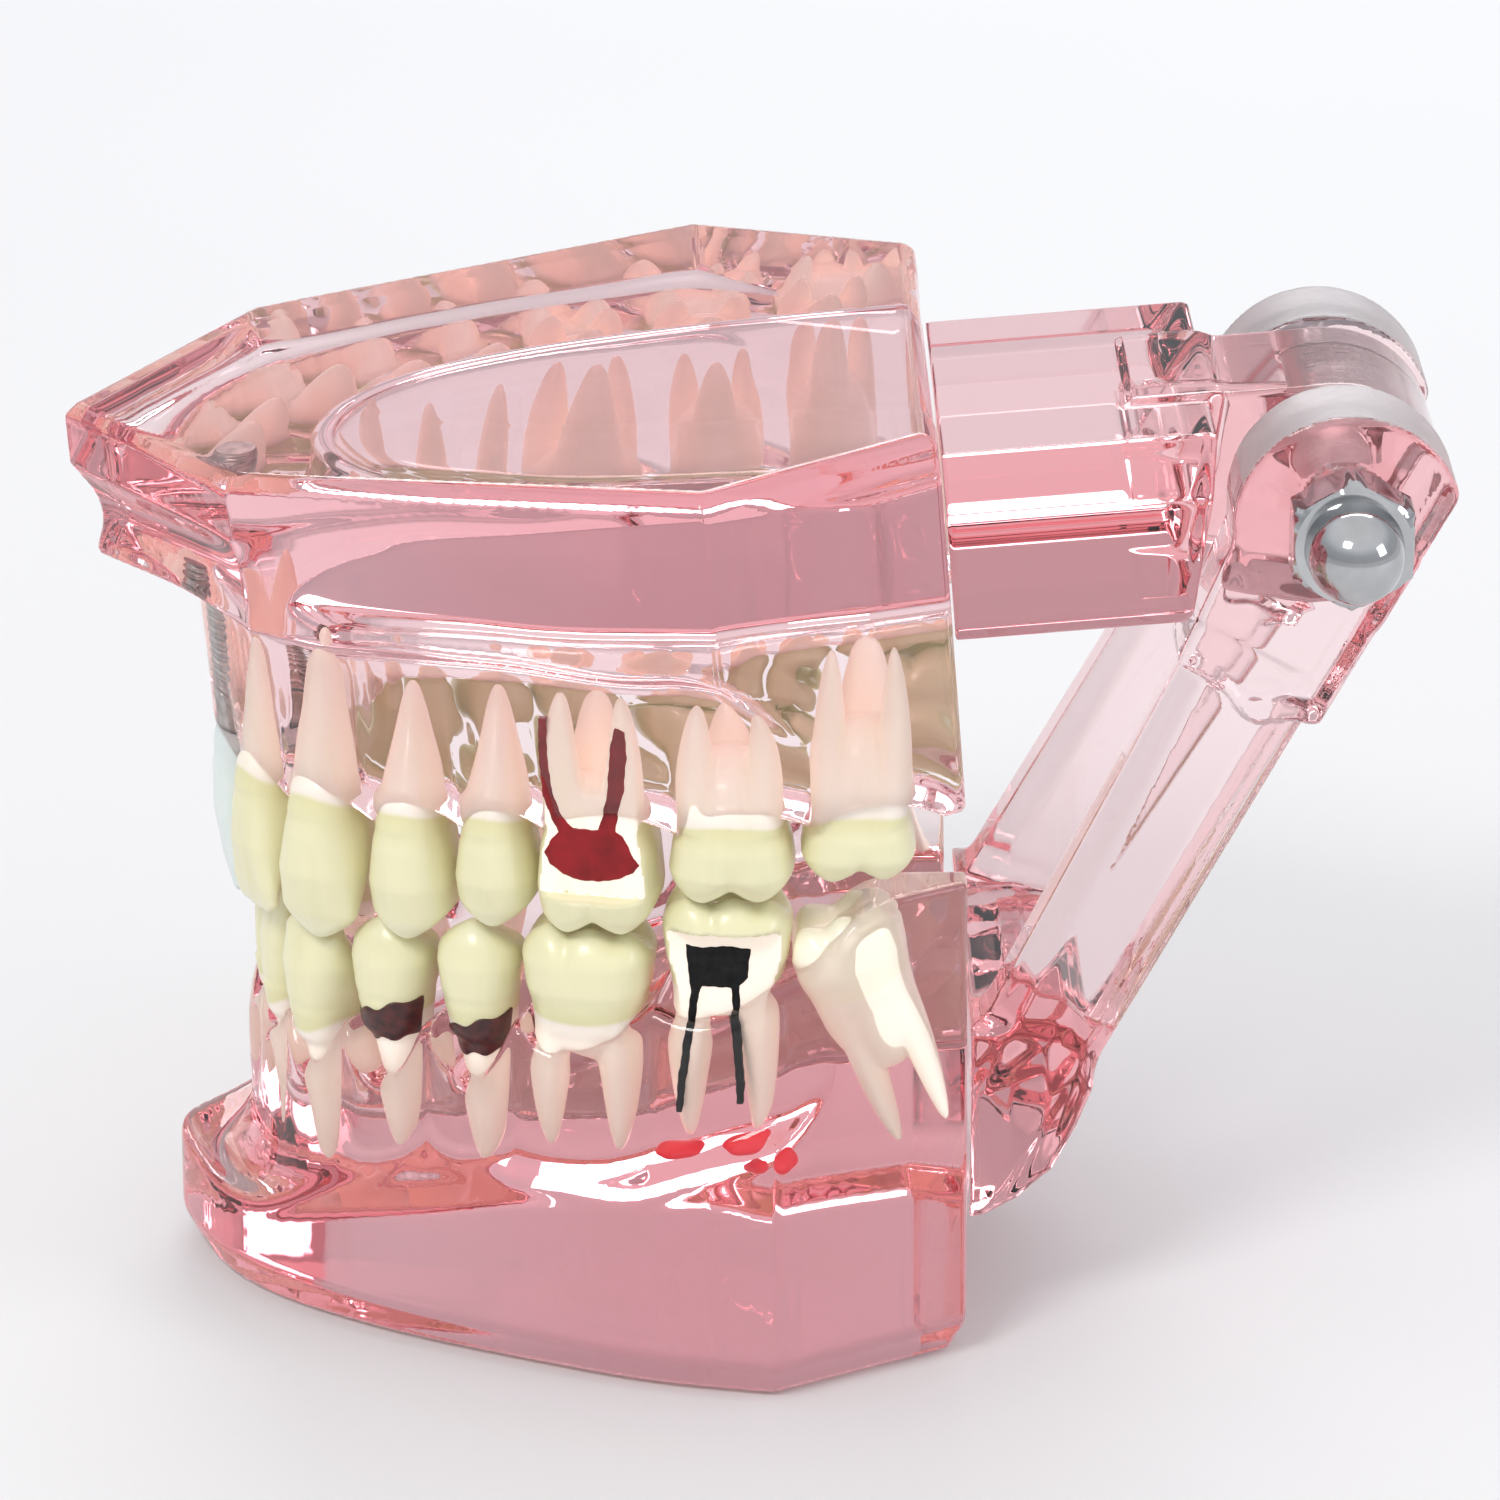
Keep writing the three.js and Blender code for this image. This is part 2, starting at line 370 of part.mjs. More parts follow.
// the third molars lie tipped towards the front, held in the ridge
const TIPPED = { lean: 21, neck: [7.8, -27.2, 35.2], md: 9.4, bl: 8.4, tip: 41.9, apex: 20.4 };
const tippedSpec = [TIPPED.neck[0], TIPPED.neck[1], TIPPED.md, TIPPED.bl, TIPPED.neck[2], TIPPED.tip, TIPPED.apex, 'molar'];
const plain = { upper: false, dirAt: () => [1, 0, 0, -1] };
const tip = (manifold) => solid(geometryOf(manifold).translate(-TIPPED.neck[0], 0, -TIPPED.neck[2]).rotateY(-TIPPED.lean * Math.PI / 180).translate(TIPPED.neck[0], 0, TIPPED.neck[2]));
const lowerTeeth = {};
for (const [side, s] of sides) {
  for (const [code, spec] of Object.entries(LOWER)) {
    if (code === '8') continue;
    lowerTeeth[side + code] = toothSolid(spec, s, loArch);
    lowerBase = lowerBase.subtract(well(spec, s, loArch, 50, ...(side === 'left' && code === '7' ? [2.2, 2.9] : [0, 0])));
  }
  const z = (w, g, h) => [0, 1, 2, 3, 4, 5, 6, 7].map((k) => {
    const a = 2 * Math.PI * (k + 0.5) / 8, c = Math.cos(a), q = Math.sin(a), f = Math.pow(Math.abs(c) ** 2.6 + Math.abs(q) ** 2.6, -1 / 2.6) * 1.02;
    return new V3(tippedSpec[0] + (TIPPED.md * w / 2 + g) * c * f, (tippedSpec[1] - (TIPPED.bl * w / 2 + g) * q * f) * s, h);
  });
  lowerBase = lowerBase.subtract(tip(solid(loft([z(1, 0.5, 60), z(1, 0.5, 34.5), z(0.94, 0.5, 30), z(0.72, 0.5, 19.9)]))));
  lowerTeeth[side + 8] = tip(toothSolid(tippedSpec, s, plain)).subtract(toothSolid(LOWER[7], s, loArch, GAP));
}
// a lower tooth never meets an upper one: the upper crowns, grown by the clearance, are taken out of it
for (const [side, s] of sides) {
  for (const code of Object.keys(LOWER)) {
    for (const other of Object.keys(UPPER)) {
      if (Math.abs(Number(code) - Number(other)) > 1) continue;
      lowerTeeth[side + code] = lowerTeeth[side + code].subtract(toothSolid(UPPER[other], s, upArch, GAP));
    }
  }
}
// black canal filling, lower left second molar
const FILLING_37 = [[-3.3, 39.4], [2.0, 39.0], [2.1, 36.2], [1.3, 35.6], [2.4, 34.0], [2.9, 25.2], [2.1, 25.2], [0.7, 35.4], [-2.1, 35.4], [-3.2, 25.2], [-4.0, 25.3], [-3.3, 35.6]];
[lowerTeeth.left7, canalFilling] = inlaid(lowerTeeth.left7, LOWER[7], loArch, 2.9, [[-12, 10], [12, 10], [12, 40.6], [-12, 40.6]], FILLING_37, 1.3);
// decayed necks of the lower left premolars: inlays in the cheek half of the tooth
const decay = {};
for (const code of [4, 5]) {
  const spec = LOWER[code], f = faceFrame(spec, loArch.dirAt(spec[0], spec[1]), 0);
  const slab = (g) => onFace(f, [[-9 - g, 29.2 + g], [-9 - g, 27.2 - g], [9 + g, 27.9 - g], [9 + g, 31.0 + g]], 0.9 - g, 20);
  decay[code] = lowerTeeth['left' + code].intersect(slab(0));
  lowerTeeth['left' + code] = lowerTeeth['left' + code].subtract(slab(GAP));
}
// red lesions at the root tips of the same molar
const lesion = (du, w) => {
  const d = loArch.dirAt(LOWER[7][0], LOWER[7][1]);
  return solid(new THREE.SphereGeometry(1, 10, 7).scale(w, 1.9, 1.2).translate(LOWER[7][0] + d[0] * du, LOWER[7][1] + d[1] * du, 19.55));
};

// ---------------------------------------------------------------- yoke
const lean = ARM_LEAN * Math.PI / 180;
const down = [-Math.sin(lean), -Math.cos(lean)], back = [Math.cos(lean), -Math.sin(lean)];
const armPoint = (s, p, y) => new V3(PIVOT.x + down[0] * s + back[0] * p, y, PIVOT.z + down[1] * s + back[1] * p);
function armRing(s, p0, p1, y0, y1, c, side) {
  return [[p0 + c, y0], [p1 - c, y0], [p1, y0 + c], [p1, y1 - c], [p1 - c, y1], [p0 + c, y1], [p0, y1 - c], [p0, y0 + c]].map(([p, y]) => armPoint(s, p, y * side));
}
const FOOT_S = 76;
function arm(side) {
  const head = solid(disc(HEAD_R, side > 0 ? HEAD_IN : -HEAD_OUT, side > 0 ? HEAD_OUT : -HEAD_IN, 40))
    .subtract(solid(loft([armRing(-14, ARM_BACK, 16, 5, 22, 0.5, side), armRing(30, ARM_BACK, 16, 5, 22, 0.5, side)])));
  const neck = solid(loft([armRing(0, -8.1, ARM_BACK, HEAD_IN, HEAD_OUT, 0.7, side), armRing(SHOULDER, -ARM_FRONT, ARM_BACK, HEAD_IN + 0.2, HEAD_OUT + 0.4, 0.7, side)]));
  const shank = solid(loft([armRing(SHOULDER - 2, -ARM_FRONT + 0.9, ARM_BACK - 0.7, HEAD_IN + 0.1, HEAD_OUT - 0.7, 1.1, side), armRing(FOOT_S, -ARM_FRONT + 2.2, ARM_BACK - 1.6, ARM_FOOT_IN + 0.8, ARM_FOOT_OUT + 0.8, 1.1, side)]));
  return head.add(neck).add(shank);
}
const crossbar = new THREE.ExtrudeGeometry(new THREE.Shape([[14, FOOT_Z[1] + 3], [14, 8], [34, 8], [34, 24], [29.4, FOOT_Z[1] + 1], [24, FOOT_Z[1] + 3]].map(([x, z]) => new THREE.Vector2(x, z))), { depth: 2 * ARM_FOOT_OUT - 4, bevelEnabled: false })
  .rotateX(Math.PI / 2).translate(0, ARM_FOOT_OUT - 2, 0);
const underFoot = profileCut([[10, FOOT_Z[0] - 0.4], [18.5, FOOT_Z[0]], [21.5, 11.6], [24.6, 14.2], [27.4, 18.2], [31.0, 25.0], [33.5, 30.0], [50, 59.5]], -20);
const infront = new THREE.BoxGeometry(40, 80, 120).translate(LO_HEEL_X + GAP - 20, 0, 20);
let yoke = arm(1).add(arm(-1)).add(solid(crossbar)).subtract(solid(underFoot)).subtract(solid(infront))
  .subtract(solid(disc(BORE_R, -30, 30, 20)));

// ---------------------------------------------------------------- bolt and acorn nuts
const bolt = solid(disc(BOLT_R, -23.2, 23.2, 18));
function nut(side) {
  const y0 = HEAD_OUT + GAP, y1 = y0 + NUT_H, rHex = NUT_AF / Math.sqrt(3);
  const dome = [[0, y1 + 2.0 + DOME_R], [DOME_R * 0.5, y1 + 2.0 + DOME_R * 0.87], [DOME_R * 0.87, y1 + 2.0 + DOME_R * 0.5], [DOME_R, y1 + 2.0], [DOME_R, y1 - 1], [0, y1 - 1]];
  const along = (g) => g.rotateX(Math.PI / 2 * 0).scale(1, side, 1).translate(PIVOT.x, 0, PIVOT.z);
  const hex = new THREE.CylinderGeometry(rHex, rHex, NUT_H, 6).translate(0, (y0 + y1) / 2, 0);
  return solid(along(hex)).add(solid(along(new THREE.LatheGeometry(dome.map(([r, h]) => new THREE.Vector2(r, h)), 20))))
    .subtract(solid(along(new THREE.CylinderGeometry(BORE_R, BORE_R, 7, 18).translate(0, y0 + 2.5, 0))));
}

// ---------------------------------------------------------------- assembly
piece('lower_base', lowerBase, 'resin', lowerGroup);
piece('lower_yoke', yoke, 'resin', lowerGroup);
piece('hinge_bolt', bolt, 'steel', lowerGroup);
piece('acorn_nut_left', nut(-1), 'steel', lowerGroup);
piece('acorn_nut_right', nut(1), 'steel', lowerGroup);
for (const [side] of sides) for (const [code, name] of Object.entries(UPPER_NAMES)) piece(`lower_${side}_${name}`, lowerTeeth[side + code], 'tooth', lowerGroup);
piece('canal_filling', canalFilling, 'filling', lowerGroup);
piece('decay_first_premolar', decay[4], 'caries', lowerGroup);
piece('decay_second_premolar', decay[5], 'caries', lowerGroup);
piece('lesion_mesial', lesion(-3.3, 2.1), 'lesion', lowerGroup);
piece('lesion_distal', lesion(2.3, 2.2), 'lesion', lowerGroup);
piece('upper_base', upperBase, 'resin', upperGroup);
piece('upper_hinge_block', hingeBlock, 'resin', upperGroup);
for (const [side] of sides) {
  for (const [code, name] of Object.entries(UPPER_NAMES)) {
    if (upperTeeth[side + code]) piece(`upper_${side}_${name}`, upperTeeth[side + code], 'tooth', upperGroup);
  }
}
piece('pulp_inlay', pulpInlay, 'pulp', upperGroup);
piece('implant_fixture', solid(lathe(fixture, 12, at)), 'titanium', upperGroup);
piece('implant_abutment', abutment, 'titanium', upperGroup);
piece('implant_crown', implantCrown, 'crown', upperGroup);

export default group;
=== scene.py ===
import math

import bpy
import numpy as np
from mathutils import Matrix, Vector


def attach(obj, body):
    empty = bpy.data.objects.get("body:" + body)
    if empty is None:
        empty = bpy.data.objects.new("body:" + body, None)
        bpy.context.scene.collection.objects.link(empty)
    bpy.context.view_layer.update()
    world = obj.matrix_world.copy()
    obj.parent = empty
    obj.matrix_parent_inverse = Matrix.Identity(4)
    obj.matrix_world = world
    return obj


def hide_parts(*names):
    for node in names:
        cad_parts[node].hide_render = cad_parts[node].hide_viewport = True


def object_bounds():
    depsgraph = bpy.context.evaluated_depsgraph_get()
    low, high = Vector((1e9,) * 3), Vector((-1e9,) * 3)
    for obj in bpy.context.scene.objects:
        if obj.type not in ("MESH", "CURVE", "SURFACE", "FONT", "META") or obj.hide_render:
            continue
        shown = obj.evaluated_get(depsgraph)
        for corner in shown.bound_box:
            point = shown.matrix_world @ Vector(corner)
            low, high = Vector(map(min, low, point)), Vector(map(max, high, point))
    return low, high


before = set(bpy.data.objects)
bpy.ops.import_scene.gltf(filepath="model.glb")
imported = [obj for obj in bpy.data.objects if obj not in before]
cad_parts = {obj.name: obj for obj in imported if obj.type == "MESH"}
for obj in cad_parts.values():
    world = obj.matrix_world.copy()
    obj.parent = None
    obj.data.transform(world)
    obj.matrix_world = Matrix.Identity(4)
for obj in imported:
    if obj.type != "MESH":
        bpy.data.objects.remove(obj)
SHIFT = -0.193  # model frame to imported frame, mm
{"load": [list(map(float, c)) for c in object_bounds()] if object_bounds() else None}

# ------------------------------------------------------------------ dimensions, mm
PIVOT_X, PIVOT_Z = 48.3, 70.9
TILT = math.radians(4.5)
UP_TOP, UP_GUM, UP_BEVEL = 84.7, 54.3, 1.15
UP_OUTLINE = [[-57.7, 0], [-43.0, -22.6], [-4.1, -36.5], [15, -25.8]]
UP_RIDGE_OUT = [[-47.9, 0], [-46.9, -6.6], [-43.6, -14], [-37.6, -20.9], [-29.6, -25.3], [-20.5, -28.8], [-9, -32], [1, -33.3], [9, -33.2], [22, -33.0]]
UP_RIDGE_IN = [[-37, 0], [-36, -5.2], [-33.4, -10], [-28.6, -14.2], [-22.5, -17], [-14, -19.6], [-4, -21.2], [6, -22], [22, -22.3]]
UP_SIDE_BOTTOM = [[-60, 70.4], [-55, 70.6], [-48, 71.2], [-38, 69.6], [-30, 70.2], [-21.5, 70.0], [-12, 68.4], [-6, 68.2], [-2, 66.2], [5.3, 62.2], [13.2, 59.4], [22, 58.6]]
LO_HEEL_X = 17.2
LO_FRONT = [[-50.3, 0], [-49.3, -4.5], [-46.3, -10.6], [-41.2, -16.2], [-33, -22], [-23, -27.2], [-10.5, -32.6], [1, -35.4]]
LO_PLATE_PROFILE = [[-60, 11.6], [-50.5, 11.2], [-48.6, 9.8], [-45, 8.6], [-41.5, 9.0], [-36.9, 11.2], [-32.4, 14.2], [-29.6, 16.4], [-26, 16.4], [-22, 16.6], [-12, 17.2], [-4.6, 20.2], [0.6, 22.2], [4.4, 25.6], [7, 26.3], [30, 26.0]]
LO_RIDGE_OUT = [[-43.9, 0], [-43.3, -5.5], [-41.2, -12], [-37.2, -18.2], [-31, -22.8], [-23.5, -26.4], [-13, -30], [-1, -32.2], [22, -33.6]]
LO_RIDGE_IN = [[-34, 0], [-33.2, -4.2], [-31, -8.8], [-27, -12.8], [-21.5, -15.8], [-13, -18.6], [-3, -20.6], [8, -21.4], [22, -21.6]]
LO_RIDGE_PROFILE = [[-60, 25.6], [-38, 25.8], [-31.5, 27.6], [-15, 31.0], [-5, 33.6], [-0.5, 35.2], [2.6, 36.6], [5.2, 39.6], [8, 42.0], [11, 42.9], [30, 43.0]]
GUM_DIP = [[-60, 1.6], [-42, 2.2], [-36.4, 3.0], [-30.6, 4.0], [-23.4, 4.2], [-19, 2.4], [-14.4, 1.4], [-3, 1.0], [30, 1.0]]
UPPER = {
    1: (-43.2, -4.35, 8.3, 7.0, 47.6, 34.6, 61.5, "incisor"),
    2: (-41.2, -11.4, 6.9, 6.4, 47.6, 35.4, 60.5, "incisor"),
    3: (-36.0, -17.2, 7.8, 8.0, 47.9, 35.3, 63.6, "canine"),
    4: (-28.8, -20.8, 7.3, 8.8, 48.1, 36.9, 59.6, "premolar"),
    5: (-21.8, -23.5, 6.9, 8.8, 48.8, 39.1, 60.3, "premolar"),
    6: (-13.4, -26.2, 10.2, 10.8, 50.0, 39.6, 61.2, "molar"),
    7: (-2.6, -28.0, 10.4, 10.6, 50.2, 43.0, 60.8, "molar"),
    8: (7.7, -28.0, 9.6, 9.8, 50.8, 44.8, 65.6, "molar"),
}
LOWER = {
    1: (-40.4, -2.75, 5.3, 5.8, 26.3, 36.6, 14.5, "incisor"),
    2: (-39.4, -8.4, 5.8, 6.2, 26.3, 36.6, 14.0, "incisor"),
    3: (-36.4, -14.3, 6.9, 7.4, 26.7, 37.0, 13.2, "canine"),
    4: (-30.6, -18.9, 7.2, 7.4, 29.5, 38.0, 16.6, "premolar"),
    5: (-23.4, -22.2, 7.2, 7.8, 30.6, 39.0, 16.6, "premolar"),
    6: (-14.4, -25.2, 11.0, 10.0, 32.2, 40.2, 19.6, "molar"),
    7: (-3.0, -27.2, 10.8, 9.8, 35.4, 43.6, 21.4, "molar"),
}
TIPPED = dict(lean=math.radians(21), x=7.8, y=-27.2, neck=35.2, md=9.4, bl=8.4, tip=41.9, apex=20.4)
NAMES = {1: "central_incisor", 2: "lateral_incisor", 3: "canine", 4: "first_premolar", 5: "second_premolar", 6: "first_molar", 7: "second_molar", 8: "third_molar"}
PULP_26 = [[-3.7, 46.8], [-1.8, 44.9], [2.2, 44.7], [3.9, 46.3], [3.2, 47.8], [2.75, 49.4], [2.9, 55.6], [2.1, 55.8], [1.75, 49.9], [-1.5, 50.0], [-2.5, 55.9], [-3.3, 55.8], [-2.7, 49.6]]
FILLING_37 = [[-3.3, 39.4], [2.0, 39.0], [2.1, 36.2], [1.3, 35.6], [2.4, 34.0], [2.9, 25.2], [2.1, 25.2], [0.7, 35.4], [-2.1, 35.4], [-3.2, 25.2], [-4.0, 25.3], [-3.3, 35.6]]


# ------------------------------------------------------------------ fields
def smin(a, b, k):
    h = np.clip(0.5 + 0.5 * (b - a) / k, 0, 1)
    return b * (1 - h) + a * h - k * h * (1 - h)


def smax(a, b, k):
    return -smin(-a, -b, k)


def step(a, b, x):
    t = np.clip((x - a) / (b - a), 0, 1)
    return t * t * (3 - 2 * t)


def table(points, x):
    p = np.array(points, float)
    return np.interp(x, p[:, 0], p[:, 1])


def smooth_table(points, x, w=1.6):
    return sum(table(points, x + d) for d in (-w, -w / 2, 0, w / 2, w)) / 5


def polygon(x, y, pts):
    """Signed distance to a closed polygon, below 0 inside."""
    x, y = np.broadcast_arrays(np.asarray(x, float), np.asarray(y, float))
    d = np.full(x.shape, 1e9)
    s = np.ones(x.shape)
    n = len(pts)
    for i in range(n):
        ax, ay = pts[i]
        bx, by = pts[i - 1]
        ex, ey = bx - ax, by - ay
        wx, wy = x - ax, y - ay
        t = np.clip((wx * ex + wy * ey) / max(ex * ex + ey * ey, 1e-12), 0, 1)
        d = np.minimum(d, (wx - ex * t) ** 2 + (wy - ey * t) ** 2)
        c1, c2, c3 = y >= ay, y < by, ex * wy > ey * wx
        s = np.where((c1 & c2 & c3) | (~c1 & ~c2 & ~c3), -s, s)
    return s * np.sqrt(d)


def spline(points, per=5):
    """Catmull-Rom through open points."""
    p = np.array(points, float)
    q = np.vstack([2 * p[0] - p[1], p, 2 * p[-1] - p[-2]])
    out = []
    for i in range(1, len(q) - 2):
        for t in np.arange(per) / per:
            a, b, c, d = q[i - 1], q[i], q[i + 1], q[i + 2]
            out.append(0.5 * (2 * b + (c - a) * t + (2 * a - 5 * b + 4 * c - d) * t * t + (3 * b - a - 3 * c + d) * t**3))
    out.append(p[-1])
    return [list(v) for v in out]


def both_sides(half):
    """Half an outline from the front on -Y, to a closed outline."""
    return half + [[x, -y] for x, y in reversed(half) if abs(y) > 1e-6]


def smooth_front(half, per=5):
    full = [[x, -y] for x, y in reversed(half[1:])] + half
    s = spline(full, per)
    return s[len(s) // 2:]


def horseshoe(outer, inner):
    o, i = smooth_front(outer, 4), smooth_front(inner, 4)
    return [[x, -y] for x, y in reversed(o[1:])] + o + i[::-1] + [[x, -y] for x, y in i[1:]]


def surface(f, lo, hi, h):
    """Closed mesh of f = 0 by surface nets, each point then moved onto the surface."""
    axes = [np.arange(a - 2 * h, b + 3 * h, h) for a, b in zip(lo, hi)]
    F = f(axes[0][:, None, None], axes[1][None, :, None], axes[2][None, None, :])
    F = np.broadcast_to(F, [len(a) for a in axes]).astype(np.float64)
    S = F < 0
    cells = tuple(n - 1 for n in F.shape)
    total, count = np.zeros(cells + (3,), np.float32), np.zeros(cells, np.int16)
    edges = []
    for ax in range(3):
        lo_s = [slice(None)] * 3
        hi_s = [slice(None)] * 3
        lo_s[ax], hi_s[ax] = slice(None, -1), slice(1, None)
        a, b = F[tuple(lo_s)], F[tuple(hi_s)]
        cross = S[tuple(lo_s)] != S[tuple(hi_s)]
        idx = np.argwhere(cross)
        va, vb = a[cross], b[cross]
        t = va / (va - vb)
        p = idx.astype(np.float64)
        p[:, ax] += t
        o1, o2 = [k for k in range(3) if k != ax]
        edges.append((ax, idx, va < 0, o1, o2))
        for d1 in (0, -1):
            for d2 in (0, -1):
                c = idx.copy()
                c[:, o1] += d1
                c[:, o2] += d2
                ok = np.all((c >= 0) & (c < np.array(cells)), axis=1)
                c, q = c[ok], p[ok]
                flat = np.ravel_multi_index(c.T, cells)
                np.add.at(count.reshape(-1), flat, 1)
                np.add.at(total.reshape(-1, 3), flat, q)
    act = count > 0
    index = np.full(cells, -1, np.int64)
    index[act] = np.arange(act.sum())
    verts = total[act] / count[act][:, None]
    faces = []
    for ax, idx, neg, o1, o2 in edges:
        ok = (idx[:, o1] > 0) & (idx[:, o2] > 0) & (idx[:, o1] < cells[o1]) & (idx[:, o2] < cells[o2])
        idx, neg = idx[ok], neg[ok]
        corner = []
        for d1, d2 in ((-1, -1), (0, -1), (0, 0), (-1, 0)):
            c = idx.copy()
            c[:, o1] += d1
            c[:, o2] += d2
            corner.append(index[tuple(c.T)])
        q = np.stack(corner, 1)
        flip = neg if ax != 1 else ~neg
        q = np.where(flip[:, None], q, q[:, ::-1])
        faces.append(q)
    faces = np.vstack(faces)
    verts = np.array([a[0] for a in axes]) + verts * h
    e = 0.05
    for _ in range(2):
        x, y, z = verts.T
        v = f(x, y, z)
        g = np.stack([f(x + e, y, z) - f(x - e, y, z), f(x, y + e, z) - f(x, y - e, z), f(x, y, z + e) - f(x, y, z - e)], 1) / (2 * e)
        n2 = (g**2).sum(1)
        move = -g * (v / np.maximum(n2, 0.05))[:, None]
        length = np.linalg.norm(move, axis=1)
        move *= np.minimum(1, 0.35 * h / np.maximum(length, 1e-9))[:, None]
        verts = verts + move
    return verts, faces


def mesh_object(name, verts, faces, smooth=True):
    """verts in mm in the model frame."""
    me = bpy.data.meshes.new(name)
    v = (np.asarray(verts, float) + np.array([SHIFT, 0, 0])) / 1000
    faces = np.asarray(faces)
    me.vertices.add(len(v))
    me.vertices.foreach_set("co", v.astype(np.float32).ravel())
    n = faces.shape[1]
    me.loops.add(faces.size)
    me.loops.foreach_set("vertex_index", faces.astype(np.int32).ravel())
    me.polygons.add(len(faces))
    me.polygons.foreach_set("loop_start", np.arange(0, faces.size, n, dtype=np.int32))
    me.polygons.foreach_set("loop_total", np.full(len(faces), n, np.int32))
    me.polygons.foreach_set("use_smooth", np.full(len(faces), smooth))
    me.update(calc_edges=True)
    me.validate()
    o = bpy.data.objects.new(name, me)
    bpy.context.scene.collection.objects.link(o)
    return o


def tilt(v, back=False):
    a = TILT if not back else -TILT
    x, z = v[:, 0] - PIVOT_X, v[:, 2] - PIVOT_Z
    out = v.copy()
    out[:, 0] = PIVOT_X + x * math.cos(a) - z * math.sin(a)
    out[:, 2] = PIVOT_Z + x * math.sin(a) + z * math.cos(a)
    return out


# ------------------------------------------------------------------ materials
def material(name):
    m = bpy.data.materials.new(name)
    m.use_nodes = True
    nt = m.node_tree
    b = nt.nodes["Principled BSDF"]
    return m, nt, b


def noise_bump(nt, b, scale, strength, distance=0.0002, detail=3.0):
    tc = nt.nodes.new("ShaderNodeTexCoord")
    n = nt.nodes.new("ShaderNodeTexNoise")
    n.inputs["Scale"].default_value = scale
    n.inputs["Detail"].default_value = detail
    bump = nt.nodes.new("ShaderNodeBump")
    bump.inputs["Strength"].default_value = strength
    bump.inputs["Distance"].default_value = distance
    nt.links.new(tc.outputs["Object"], n.inputs["Vector"])
    nt.links.new(n.outputs["Fac"], bump.inputs["Height"])
    nt.links.new(bump.outputs["Normal"], b.inputs["Normal"])
    return n


def resin(name, tint, density, base, bump=0.12, rough=0.015):
    m, nt, b = material(name)
    b.inputs["Base Color"].default_value = (*base, 1)
    b.inputs["Transmission Weight"].default_value = 1.0
    b.inputs["Roughness"].default_value = rough
    b.inputs["IOR"].default_value = 1.49
    noise_bump(nt, b, 45.0, bump, 0.0006, 0.0)
    v = nt.nodes.new("ShaderNodeVolumeAbsorption")
    v.inputs["Color"].default_value = (*tint, 1)
    v.inputs["Density"].default_value = density
    out = [n for n in nt.nodes if n.type == "OUTPUT_MATERIAL"][0]
    nt.links.new(v.outputs["Volume"], out.inputs["Volume"])
    return m


def frosted(name, base, rough, trans):
    m, nt, b = material(name)
    b.inputs["Base Color"].default_value = (*base, 1)
    b.inputs["Transmission Weight"].default_value = trans
    b.inputs["Roughness"].default_value = rough
    b.inputs["IOR"].default_value = 1.49
    noise_bump(nt, b, 900.0, 0.35, 0.0003, 4.0)
    return m


def mix_color(nt, a, b, fac):
    n = nt.nodes.new("ShaderNodeMix")
    n.data_type = "RGBA"
    for k, v in ((6, a), (7, b)):
        if isinstance(v, tuple):
            n.inputs[k].default_value = (*v, 1)
        else:
            nt.links.new(v, n.inputs[k])
    if isinstance(fac, float):
        n.inputs[0].default_value = fac
    else:
        nt.links.new(fac, n.inputs[0])
    return n.outputs[2]


def ramp(nt, src, stops):
    r = nt.nodes.new("ShaderNodeValToRGB")
    e = r.color_ramp.elements
    while len(e) > 1:
        e.remove(e[-1])
    e[0].position, e[0].color = stops[0][0], (*stops[0][1], 1)
    for p, c in stops[1:]:
        k = e.new(p)
        k.color = (*c, 1)
    nt.links.new(src, r.inputs["Fac"])
    return r.outputs["Color"]


